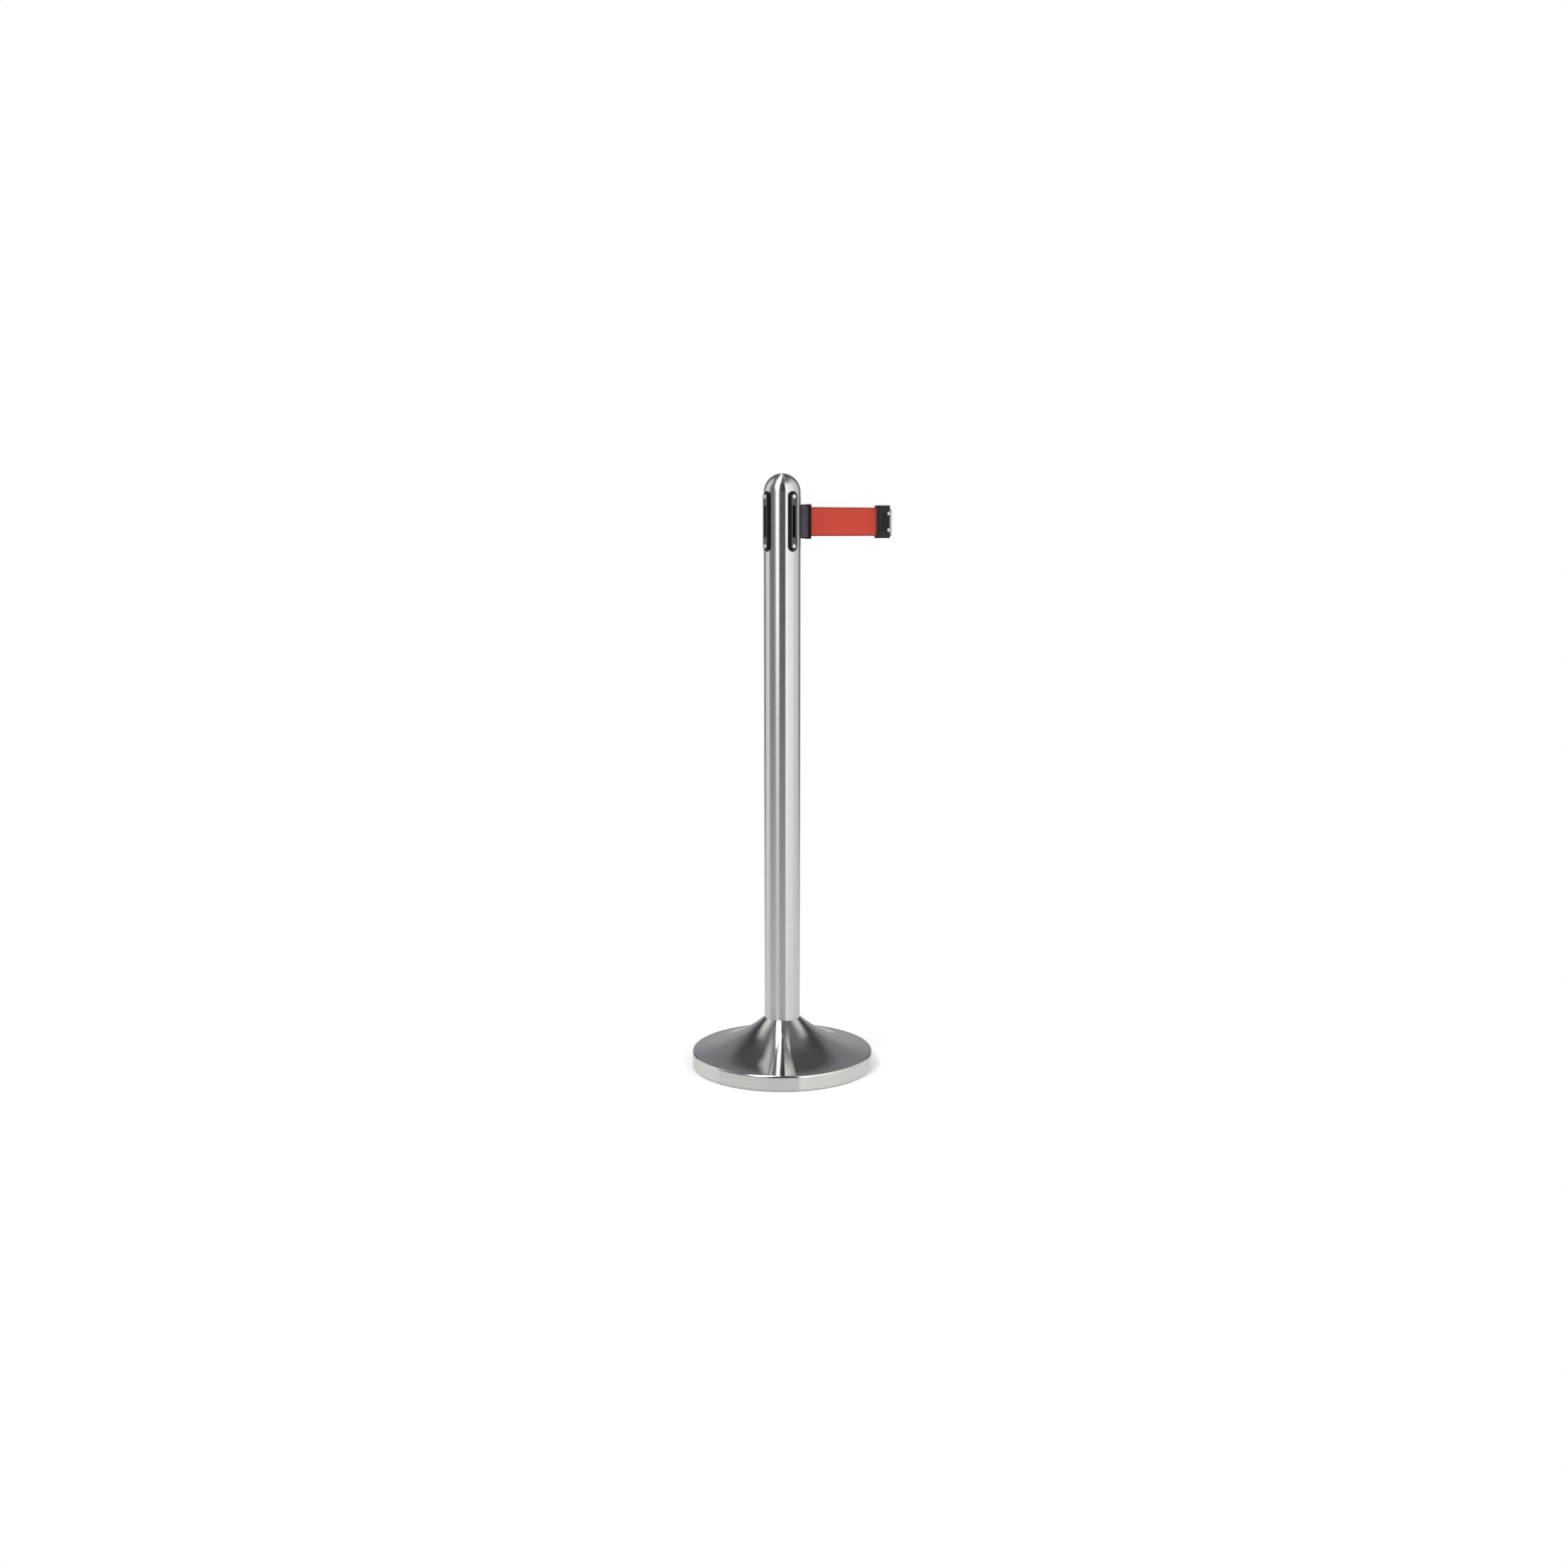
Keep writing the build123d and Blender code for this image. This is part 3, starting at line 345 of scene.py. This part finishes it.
def webbing(name, tint):
    """Woven polyester: warp ribs along the belt, weft picks across it, and darker along both edges."""
    material = bpy.data.materials.new(name)
    g = Graph(material)
    position = g.add("TexCoord").outputs["Object"]
    axes = g.add("SeparateXYZ", {0: position})
    warp = g.math("MULTIPLY", axes.outputs["Z"], math.pi / WARP_PITCH)
    weft = g.math("MULTIPLY", axes.outputs["X"], math.pi / WEFT_PITCH)
    over = g.math("MULTIPLY", g.math("SINE", warp), g.math("SINE", weft))
    ribs = g.math("ABSOLUTE", g.math("SINE", warp))
    picks = g.math("ABSOLUTE", g.math("SINE", weft))
    weave = g.math("ADD", g.math("MULTIPLY", ribs, RIB_SHARE), g.math("MULTIPLY", picks, PICK_SHARE))
    weave = g.math("ADD", weave, g.math("MULTIPLY", over, CROSSING_SHARE))
    yarn = g.noise(g.scaled(position, YARN_SCALES), 1.0, detail=2.0)
    fuzz = g.noise(position, FUZZ_SCALE, detail=2.0)
    fade = g.noise(position, FADE_SCALE, detail=3.0)
    shade = g.math("ADD", g.spread(weave, 0.84, 1.06, 0.0, 0.9), g.vary(yarn, -0.07, 0.07))
    shade = g.math("ADD", shade, g.vary(fade, -0.04, 0.04))
    # The belt is made darker along both edges
    from_middle = g.math("ABSOLUTE", g.math("SUBTRACT", axes.outputs["Z"], HEAD_Z))
    half_width = BELT_WIDTH / 2
    edge_darkening = g.spread(
        from_middle, 1.0, EDGE_DARKENING, half_width - EDGE_DARKENING_STARTS, half_width - EDGE_DARKENING_FULL)
    height = g.math("ADD", weave, g.math("MULTIPLY", fuzz, FUZZ_SHARE))
    shader = g.add("BsdfPrincipled", {
        "Base Color": g.shaded(tint, g.math("MULTIPLY", shade, edge_darkening)),
        "Roughness": 0.82,
        "Specular IOR Level": 0.25,
        "Sheen Weight": 0.18,
        "Sheen Roughness": 0.45,
        "Sheen Tint": (1.0, 0.55, 0.45, 1.0),
        "Normal": g.bump(height, WEAVE_HEIGHT, 0.7),
    })
    g.output(shader.outputs[0])
    return material


# ---- Materials: one for each slot of the record, and two more for the side plates, which paint light on their faces and shade on their rims ----
STEEL_TINT = (0.64, 0.638, 0.632)
# Black of the side plates' rims and slots, painted shade
SHADED_RIM_BLACK = (0.004, 0.004, 0.005)
RECIPES = {
    "tube_steel": (brushed_steel, dict(tint=STEEL_TINT, rough=0.20, anisotropy=0.93, depth=0.03)),
    "dome_steel": (brushed_steel, dict(tint=STEEL_TINT, rough=0.18, anisotropy=0.92, depth=0.03)),
    "cover_steel": (brushed_steel, dict(tint=(0.69, 0.69, 0.685), rough=0.08, anisotropy=0.95, depth=0.03)),
    "black_plastic": (moulded_plastic, dict(tint=(0.012, 0.012, 0.014), rough=0.42, gloss=0.25)),
    "receiver_plastic": (moulded_plastic, dict(
        tint=SHADED_RIM_BLACK, rough=0.42, gloss=0.15, face=receiver_lit_face, lit_face_tint=(0.085, 0.085, 0.095))),
    "mouth_plastic": (moulded_plastic, dict(
        tint=SHADED_RIM_BLACK, rough=0.42, gloss=0.15, face=mouth_lit_face, lit_face_tint=(0.058, 0.055, 0.070))),
    "screw_steel": (even_metal, dict(tint=(0.80, 0.80, 0.79), rough=0.16, grain=900.0, depth=0.05)),
    "belt_fabric": (webbing, dict(tint=(0.545, 0.060, 0.037))),
    "rubber": (moulded_plastic, dict(tint=(0.022, 0.022, 0.022), rough=0.75, grain=900.0, depth=0.5)),
    "cast_iron": (even_metal, dict(tint=(0.10, 0.10, 0.10), rough=0.62, grain=700.0, depth=0.8)),
    "plain_steel": (even_metal, dict(tint=(0.50, 0.50, 0.49), rough=0.32, grain=1500.0, depth=0.1)),
    "zinc_steel": (even_metal, dict(tint=(0.62, 0.61, 0.55), rough=0.34, grain=1200.0, depth=0.1)),
    "spring_steel": (even_metal, dict(tint=(0.20, 0.21, 0.25), rough=0.30, grain=1200.0, depth=0.1)),
    "brass": (even_metal, dict(tint=(0.72, 0.50, 0.20), rough=0.28, grain=1200.0, depth=0.1)),
    "cassette_plastic": (moulded_plastic, dict(tint=(0.05, 0.05, 0.055), rough=0.45)),
    "spool_plastic": (moulded_plastic, dict(tint=(0.55, 0.55, 0.52), rough=0.40)),
    "bushing_plastic": (moulded_plastic, dict(tint=(0.72, 0.70, 0.62), rough=0.35)),
}
materials = {name: recipe(name, **looks) for name, (recipe, looks) in RECIPES.items()}
slot_of = {part["node"]: part["material_slot"] for part in frame["record"]["subparts"]}
for node_name, node in nodes.items():
    wanted = slot_of[node_name]
    # The side plates take the copies of black plastic with painted light and shade
    if node_name == "mouthpiece":
        wanted = "mouth_plastic"
    elif node_name.startswith("receiver_"):
        wanted = "receiver_plastic"
    node.data.materials.clear()
    node.data.materials.append(materials[wanted])


# ---- Pieces made here ----
def mesh_object(name, points, faces, material):
    mesh = bpy.data.meshes.new(name)
    mesh.from_pydata([tuple(p) for p in points], [], faces)
    mesh.validate()
    mesh.materials.append(material)
    for polygon in mesh.polygons:
        polygon.use_smooth = True
    return link(bpy.data.objects.new(name, mesh))


# ---- Base cover: the spun sheet, turned in finer steps than the CAD mesh ----
COVER_NECK = Vector((30.35, 83.5)) * MM
COVER_NECK_SLOPE = math.radians(42.0)
COVER_SHOULDER = Vector((151.1, 26.5)) * MM
COVER_RIM_TOP = Vector((153.6, 24.0)) * MM
COVER_RIM_FOOT = Vector((154.5, 1.5)) * MM
COVER_SHEET = 1.0 * MM
COVER_BORE = 30.25 * MM
COVER_SEGMENTS = 288
COVER_STEPS = 60
SHOULDER_STEPS = 12
RIM_SHARES = (0.1, 0.4, 0.7, 1.0)
SHARP_EDGE = math.radians(40.0)


def arc_radius(start, end, heading):
    """Radius of the arc from start to end that sets out along heading, positive if it turns left."""
    chord = end - start
    return chord.length_squared / (2 * chord.dot(Vector((-heading.y, heading.x))))


def tangent_arc(start, end, heading, steps):
    """Points and headings of the arc from start to end that sets out along heading."""
    centre = start + Vector((-heading.y, heading.x)) * arc_radius(start, end, heading)
    arm = start - centre
    chord = end - start
    turn = 2 * math.atan2(heading.x * chord.y - heading.y * chord.x, heading.dot(chord))
    made = []
    for angle in evenly(0.0, turn, steps):
        spin = Matrix.Rotation(angle, 2)
        made.append((centre + spin @ arm, spin @ heading))
    return made


def turned_shell(name, outline, segments, material):
    """Solid of revolution about Z from a closed outline of (radius, height) points."""
    count = len(outline)
    points = []
    for segment in range(segments):
        angle = 2 * math.pi * segment / segments
        for p in outline:
            points.append((p.x * math.cos(angle), p.x * math.sin(angle), p.y))
    faces = []
    for segment in range(segments):
        here, there = segment * count, (segment + 1) % segments * count
        for k in range(count):
            after = (k + 1) % count
            faces.append((here + k, there + k, there + after, here + after))
    made = mesh_object(name, points, faces, material)
    shell = bmesh.new()
    shell.from_mesh(made.data)
    bmesh.ops.recalc_face_normals(shell, faces=shell.faces)
    shell.to_mesh(made.data)
    shell.free()
    made.data.set_sharp_from_angle(angle=SHARP_EDGE)
    return made


cover_heading = Vector((math.cos(COVER_NECK_SLOPE), -math.sin(COVER_NECK_SLOPE)))
cover_line = tangent_arc(COVER_NECK, COVER_SHOULDER, cover_heading, COVER_STEPS)
cover_line += tangent_arc(COVER_SHOULDER, COVER_RIM_TOP, cover_line[-1][1], SHOULDER_STEPS)[1:]
rim_heading = (COVER_RIM_FOOT - COVER_RIM_TOP).normalized()
cover_line += [(COVER_RIM_TOP.lerp(COVER_RIM_FOOT, share), rim_heading) for share in RIM_SHARES]
cover_inside = []
for point, heading in reversed(cover_line):
    inner = point + Vector((heading.y, -heading.x)) * COVER_SHEET
    cover_inside.append(Vector((max(inner.x, COVER_BORE), max(inner.y, COVER_RIM_FOOT.y))))
cover_outline = [point for point, heading in cover_line] + cover_inside
cover_shell = turned_shell("base_cover_shell", cover_outline, COVER_SEGMENTS, materials["cover_steel"])
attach(cover_shell, "post")
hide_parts("base_cover")


# ---- Belt: from the coil, past a guide pin, out of the mouthpiece and round the clip's pin ----
BELT_THICK = 0.55 * MM
BELT_ROWS = 40
RIM_WIDTH = 0.25 * MM
RIM_THIN = 0.55
SELVEDGE_WIDTH = 2.2 * MM
MIDDLE_THIN = 0.86
GUIDE_PIN_X = 23.9 * MM
GUIDE_PIN_Y = 1.575 * MM
COIL_LINE_RADIUS = 19.185 * MM
CLIP_PIN_X = 208.2 * MM
LOOP_RADIUS = 2.125 * MM
LOOP_END = -0.93 * math.pi
PIN_STEPS = 8
STRAIGHT_STEPS = 90
LOOP_STEPS = 28


def turn_from(centre, radius, start, end, steps):
    """Points of an arc in plan, from angle start to angle end."""
    return [centre + radius * Vector((math.cos(a), math.sin(a))) for a in evenly(start, end, steps)]


def strip(name, line, material, rows):
    """Belt that follows a line in plan. rows are the heights across it and the half thickness at each."""
    sides = []
    for index, point in enumerate(line):
        before = line[max(index - 1, 0)]
        after = line[min(index + 1, len(line) - 1)]
        along = (after - before).normalized()
        sides.append(Vector((-along.y, along.x)))
    ring = rows + [(z, -half) for z, half in reversed(rows)]
    points = []
    for point, side in zip(line, sides):
        for z, half in ring:
            points.append((point.x + side.x * half, point.y + side.y * half, z))
    count = len(ring)
    faces = []
    for step in range(len(line) - 1):
        for k in range(count):
            after = (k + 1) % count
            low, high = step * count, (step + 1) * count
            faces.append((low + k, low + after, high + after, high + k))
    faces.append(tuple(range(count)))
    faces.append(tuple(reversed(range((len(line) - 1) * count, len(line) * count))))
    return mesh_object(name, points, faces, material)


def belt_rows():
    """Heights across the belt with its half thickness: rounded rims, thick selvedges, thinner middle."""
    made = []
    for share in evenly(0.0, 1.0, BELT_ROWS):
        inset = min(share, 1 - share) * BELT_WIDTH
        half = BELT_THICK / 2
        if inset < RIM_WIDTH:
            half *= RIM_THIN
        elif inset > SELVEDGE_WIDTH:
            half *= MIDDLE_THIN
        made.append((BELT_LOW + BELT_WIDTH * share, half))
    return made


pin_centre = Vector((GUIDE_PIN_X, -GUIDE_PIN_Y))
pin_distance = pin_centre.length
pin_bearing = math.atan2(pin_centre.y, pin_centre.x)
leave_angle = pin_bearing - math.acos((COIL_LINE_RADIUS + GUIDE_PIN_Y) / pin_distance)
leave_normal = Vector((math.cos(leave_angle), math.sin(leave_angle)))
run_line = [leave_normal * COIL_LINE_RADIUS]
run_line += turn_from(pin_centre, GUIDE_PIN_Y, leave_angle + math.pi, math.pi / 2, PIN_STEPS)
straight = evenly(run_line[-1].x, CLIP_PIN_X - LOOP_RADIUS, STRAIGHT_STEPS)
run_line += [Vector((x, 0.0)) for x in straight[1:-1]]
run_line += turn_from(Vector((CLIP_PIN_X, 0.0)), LOOP_RADIUS, math.pi, LOOP_END, LOOP_STEPS)
belt_run = strip("belt", run_line, materials["belt_fabric"], belt_rows())
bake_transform(belt_run)
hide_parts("belt_run")
run_length = sum((b - a).length for a, b in zip(run_line, run_line[1:]))
belt_run.visible_glossy = False  # the photograph's steel reflects no red

# The rest of the belt, wound on the spool
HUB_RADIUS = 6.02 * MM
COIL_OUT_RADIUS = 18.55 * MM
COIL_PITCH = 0.476 * MM
COIL_HALF_THICK = 0.225 * MM
COIL_STEPS = 36
COIL_ROWS = 6
coil_turns = (COIL_OUT_RADIUS - HUB_RADIUS - 2 * COIL_HALF_THICK) / COIL_PITCH
coil_line = []
for step in range(int(coil_turns * COIL_STEPS) + 1):
    angle = 2 * math.pi * step / COIL_STEPS
    radius = HUB_RADIUS + COIL_HALF_THICK + COIL_PITCH * step / COIL_STEPS
    coil_line.append(radius * Vector((math.cos(angle), math.sin(angle))))
coil_rows = [(z, COIL_HALF_THICK) for z in evenly(BELT_LOW, BELT_LOW + BELT_WIDTH, COIL_ROWS)]
wound = strip("belt_coil", coil_line, materials["belt_fabric"], coil_rows)
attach(wound, "spool")
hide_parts("wound_belt")


# ---- Studio: a dome and panels that only reflections see, pale floor, white backdrop, soft lights ----
DIM_LIGHT = (0.965, 0.98, 1.03, 1.0)
BRIGHT_LIGHT = (1.01, 1.0, 0.975, 1.0)
DIM_TO_BRIGHT = (0.3, 0.8)


def emitter(name):
    """Light whose strength and cover come from the mesh, a little cooler where it is dim."""
    material = bpy.data.materials.new(name)
    g = Graph(material)
    glow = g.add("Attribute", attribute_name="glow").outputs["Fac"]
    cover = g.add("Attribute", attribute_name="cover").outputs["Fac"]
    colour = g.blend(g.spread(glow, 0.0, 1.0, *DIM_TO_BRIGHT), DIM_LIGHT, BRIGHT_LIGHT)
    light = g.add("Emission", {"Color": colour, "Strength": glow}).outputs[0]
    clear = g.add("BsdfTransparent").outputs[0]
    g.output(g.add("MixShader", {0: cover, 1: clear, 2: light}).outputs[0])
    material.cycles.emission_sampling = "NONE"
    return material


def only_seen_by(obj, camera=False, glossy=False):
    obj.visible_camera = camera
    obj.visible_diffuse = False
    obj.visible_glossy = glossy
    obj.visible_transmission = False
    obj.visible_volume_scatter = False
    obj.visible_shadow = False


def studio_grid(name, columns, rows, place, glow, cover, material):
    """Mesh of columns by rows. place, glow and cover are functions of a column and a row."""
    points = [place(c, r) for r in rows for c in columns]
    wide = len(columns)
    faces = []
    for r in range(len(rows) - 1):
        for c in range(wide - 1):
            k = r * wide + c
            faces.append((k, k + 1, k + 1 + wide, k + wide))
    obj = mesh_object(name, points, faces, material)
    for label, source in (("glow", glow), ("cover", cover)):
        values = [source(c, r) for r in rows for c in columns]
        obj.data.attributes.new(label, "FLOAT", "POINT").data.foreach_set("value", values)
    return obj


studio_light = emitter("studio_light")
CENTRE = Vector((0.0, 0.0, 0.5))
DOME_RADIUS = 9.0


def towards(azimuth, elevation):
    """Direction from the object. Azimuth 0 is towards the camera, and above 0 to the picture's right."""
    a, e = math.radians(azimuth), math.radians(elevation)
    level = -AHEAD * math.cos(a) + RIGHT * math.sin(a)
    return level * math.cos(e) + UP * math.sin(e)


def between(value, stops):
    """Reads a value off a list of (place, value) stops, smoothly joined."""
    if value <= stops[0][0]:
        return stops[0][1]
    for (a, low), (b, high) in zip(stops, stops[1:]):
        if value <= b:
            t = (value - a) / (b - a)
            t = t * t * (3 - 2 * t)
            return low + (high - low) * t
    return stops[-1][1]


# Brightness of the dome, given as (place, brightness) stops. WALLS is by azimuth: a light left
# wall, a dark gap at the camera and a bright right wall. BEHIND is by elevation, behind the object.
# The stops named X_TO_Y go from 0 at X to 1 at Y. CORNER and CORNER_FADE place a dark strip at each side
# of the part behind the object.
WALLS = [
    (-138, 0.06), (-126, 0.80), (-112, 0.92), (-90, 0.92), (-82, 0.20), (-50, 0.22), (-38, 0.18),
    (-14, 0.06), (18.5, 0.06), (24.5, 1.50), (34, 1.40), (46, 1.22), (66, 1.20), (80, 0.98), (94, 0.84),
    (112, 0.82), (126, 0.70), (138, 0.06),
]
BEHIND = [(8, 0.38), (22, 0.26), (31, 0.23), (40, 0.09), (62, 0.10), (72, 0.19)]
CEILING = 0.18
WALLS_TO_CEILING = [(44, 0.0), (66, 1.0)]
SIDES_TO_BEHIND = [(140, 0.0), (158, 1.0)]
CORNER = [(138, 0.0), (140, 1.0), (150, 1.0), (156, 0.0)]
CORNER_FADE = [(6, 1.0), (22, 0.0)]
CORNER_DARKER = 0.6
FLOOR_BOUNCE = 0.77
FLOOR_BOUNCE_OF_WALLS = 0.08
FLOOR_TO_WALLS = [(-15.5, 0.0), (-8.5, 1.0)]


def dome_glow(azimuth, elevation):
    walls = between(azimuth, WALLS)
    upper = walls + (CEILING - walls) * between(elevation, WALLS_TO_CEILING)
    upper += (between(elevation, BEHIND) - upper) * between(abs(azimuth), SIDES_TO_BEHIND)
    upper *= 1 - CORNER_DARKER * between(abs(azimuth), CORNER) * between(elevation, CORNER_FADE)
    floor_bounce = FLOOR_BOUNCE + FLOOR_BOUNCE_OF_WALLS * walls
    return floor_bounce + (upper - floor_bounce) * between(elevation, FLOOR_TO_WALLS)


def everywhere(column, row):
    return 1.0


dome = studio_grid(
    "studio_dome", evenly(-180, 180, 180), evenly(-88, 88, 44),
    lambda a, e: CENTRE + DOME_RADIUS * towards(a, e), dome_glow, everywhere, studio_light)
only_seen_by(dome, glossy=True)

# Where the cover's front line sends the camera's ray, as an angle psi up from the front horizon
COVER_VIEW_FALL = math.radians(17.5)
NECK_PSI = 180.0 - math.degrees(COVER_VIEW_FALL + 2 * COVER_NECK_SLOPE)
LAST_PSI = 158.0
PSI_STEP = 2.0
PANEL_COLUMNS = 16
LOW_PSI = 30
LOW_SOFT = 0.5
cover_radius = arc_radius(COVER_NECK, COVER_SHOULDER, cover_heading)


def lateral_per_mm(psi):
    """Sideways part of the direction that the cover's front line reflects, per mm from its middle."""
    slope = (math.pi - COVER_VIEW_FALL - math.radians(psi)) / 2
    radius = COVER_NECK.x + cover_radius * (math.sin(COVER_NECK_SLOPE) - math.sin(slope))
    return 2 * math.sin(slope + COVER_VIEW_FALL) * math.sin(slope) / radius * MM


def light_panel(name, distance, glow, across, gain, soft=0.12, low=()):
    """Curved panel that shows on the cover as a stripe, given by its edges in mm from the middle line.

    It spans angles psi up from the front horizon, and across lists (psi, left edge, right edge). low
    lists the same, as shares of a unit direction, for a stretch below the cover's, which the tube and
    the dome cap reflect. gain lists (psi, share of the glow). Each edge fades over a share of the
    width: soft on the cover, and LOW_SOFT from LOW_PSI down.
    """
    first = low[0][0] if low else gain[0][0]

    def stripe_edge(psi, side):
        return lateral_per_mm(psi) * between(psi, [(row[0], row[1 + side]) for row in across])

    def edge(psi, side):
        if psi >= NECK_PSI or not low:
            return stripe_edge(psi, side)
        stops = [(row[0], row[1 + side]) for row in low]
        return between(psi, stops + [(NECK_PSI, stripe_edge(NECK_PSI, side))])

    def place(t, psi):
        side = edge(psi, 0) + (edge(psi, 1) - edge(psi, 0)) * t
        flat = math.sqrt(max(0.0, 1 - side * side))
        p = math.radians(psi)
        return CENTRE + distance * (-AHEAD * flat * math.cos(p) + RIGHT * side + UP * flat * math.sin(p))

    def cover(t, psi):
        fade = between(psi, [(LOW_PSI, LOW_SOFT), (NECK_PSI, soft)])
        return min(1.0, t / fade, (1 - t) / fade) * min(1.0, between(psi, gain))

    def strength(t, psi):
        return glow * max(1.0, between(psi, gain))

    psis = evenly(first, LAST_PSI, int((LAST_PSI - first) / PSI_STEP))
    panel = studio_grid(name, evenly(0.0, 1.0, PANEL_COLUMNS), psis, place, strength, cover, studio_light)
    only_seen_by(panel, glossy=True)


light_panel(
    "strip_light", distance=8.0, glow=2.9, across=[(NECK_PSI, -13.0, -1.6)],
    gain=[(-13, 0.0), (-8, 0.08), (-4, 0.38), (2, 0.82), (8, 1.0), (110, 1.0), (145, 1.5)],
    low=[(-16, -0.70, -0.27), (0, -0.73, -0.26), (40, -0.74, -0.18)])
light_panel(
    "left_fan", distance=7.8, glow=0.68, soft=0.5, gain=[(86, 0.0), (118, 1.0)],
    across=[(104, -34.0, -14.5), (119, -45.0, -14.5), (133, -66.0, -14.5)])
light_panel(
    "right_fan", distance=7.8, glow=0.84, soft=0.2, gain=[(84, 0.0), (112, 1.0)],
    across=[(104, 5.0, 15.5), (119, 5.0, 17.0), (133, 5.0, 11.5)])

# Floor: pale paint that fades out, so that the base's soft shadow lies on a white ground
FLOOR_RADIUS = 1.2
FLOOR_EYE = 0.5 * MM
FLOOR_FADE = (0.45, 1.15)
FLOOR_RINGS = 8
FLOOR_SIDES = 96
FLOOR_GREY = 0.96


def floor_disc(name, material):
    points, faces = [], []
    for radius in evenly(FLOOR_EYE, FLOOR_RADIUS, FLOOR_RINGS):
        for side in range(FLOOR_SIDES):
            angle = 2 * math.pi * side / FLOOR_SIDES
            points.append((radius * math.cos(angle), radius * math.sin(angle), 0.0))
    for ring in range(FLOOR_RINGS):
        inner, outer = ring * FLOOR_SIDES, (ring + 1) * FLOOR_SIDES
        for side in range(FLOOR_SIDES):
            after = (side + 1) % FLOOR_SIDES
            faces.append((inner + side, inner + after, outer + after, outer + side))
    return mesh_object(name, points, faces, material)


def floor_paint(name):
    material = bpy.data.materials.new(name)
    g = Graph(material)
    away = g.vector("LENGTH", g.add("TexCoord").outputs["Object"])
    paint = g.add("BsdfDiffuse", {"Color": grey(FLOOR_GREY)}).outputs[0]
    clear = g.add("BsdfTransparent").outputs[0]
    g.output(g.add("MixShader", {0: g.spread(away, 0.0, 1.0, *FLOOR_FADE), 1: paint, 2: clear}).outputs[0])
    return material


floor = floor_disc("floor", floor_paint("floor_paint"))
floor.visible_glossy = False


# Backdrop: the camera sees white all round
def plain_white(name):
    material = bpy.data.materials.new(name)
    g = Graph(material)
    g.output(g.add("Emission", {"Color": grey(1.0), "Strength": 1.0}).outputs[0])
    material.cycles.emission_sampling = "NONE"
    return material


BACKDROP_RADIUS = DOME_RADIUS + 1.0
backdrop = studio_grid(
    "backdrop", evenly(-180, 180, 36), evenly(-90, 90, 18),
    lambda a, e: CENTRE + BACKDROP_RADIUS * towards(a, e), everywhere, everywhere,
    plain_white("backdrop_white"))
only_seen_by(backdrop, camera=True)

# Air: even white light for diffuse surfaces alone
AIR_STRENGTH = 0.86
world = bpy.data.worlds.new("studio_air")
scene.world = world
world.use_nodes = True
world.node_tree.nodes["Background"].inputs["Color"].default_value = grey(1.0)
world.node_tree.nodes["Background"].inputs["Strength"].default_value = AIR_STRENGTH
world.cycles_visibility.glossy = False
world.cycles_visibility.camera = False


def soft_light(name, azimuth, elevation, distance, size, power):
    data = bpy.data.lights.new(name, "AREA")
    data.shape = "DISK"
    data.size = size
    data.energy = power
    lamp = link(bpy.data.objects.new(name, data))
    direction = towards(azimuth, elevation)
    lamp.location = CENTRE + distance * direction
    lamp.rotation_mode = "QUATERNION"
    lamp.rotation_quaternion = (-direction).to_track_quat("-Z", "Y")
    lamp.visible_camera = False
    lamp.visible_glossy = False


soft_light("key", azimuth=-48.0, elevation=46.0, distance=3.4, size=1.6, power=46.0)
soft_light("fill", azimuth=60.0, elevation=30.0, distance=3.6, size=2.2, power=24.0)
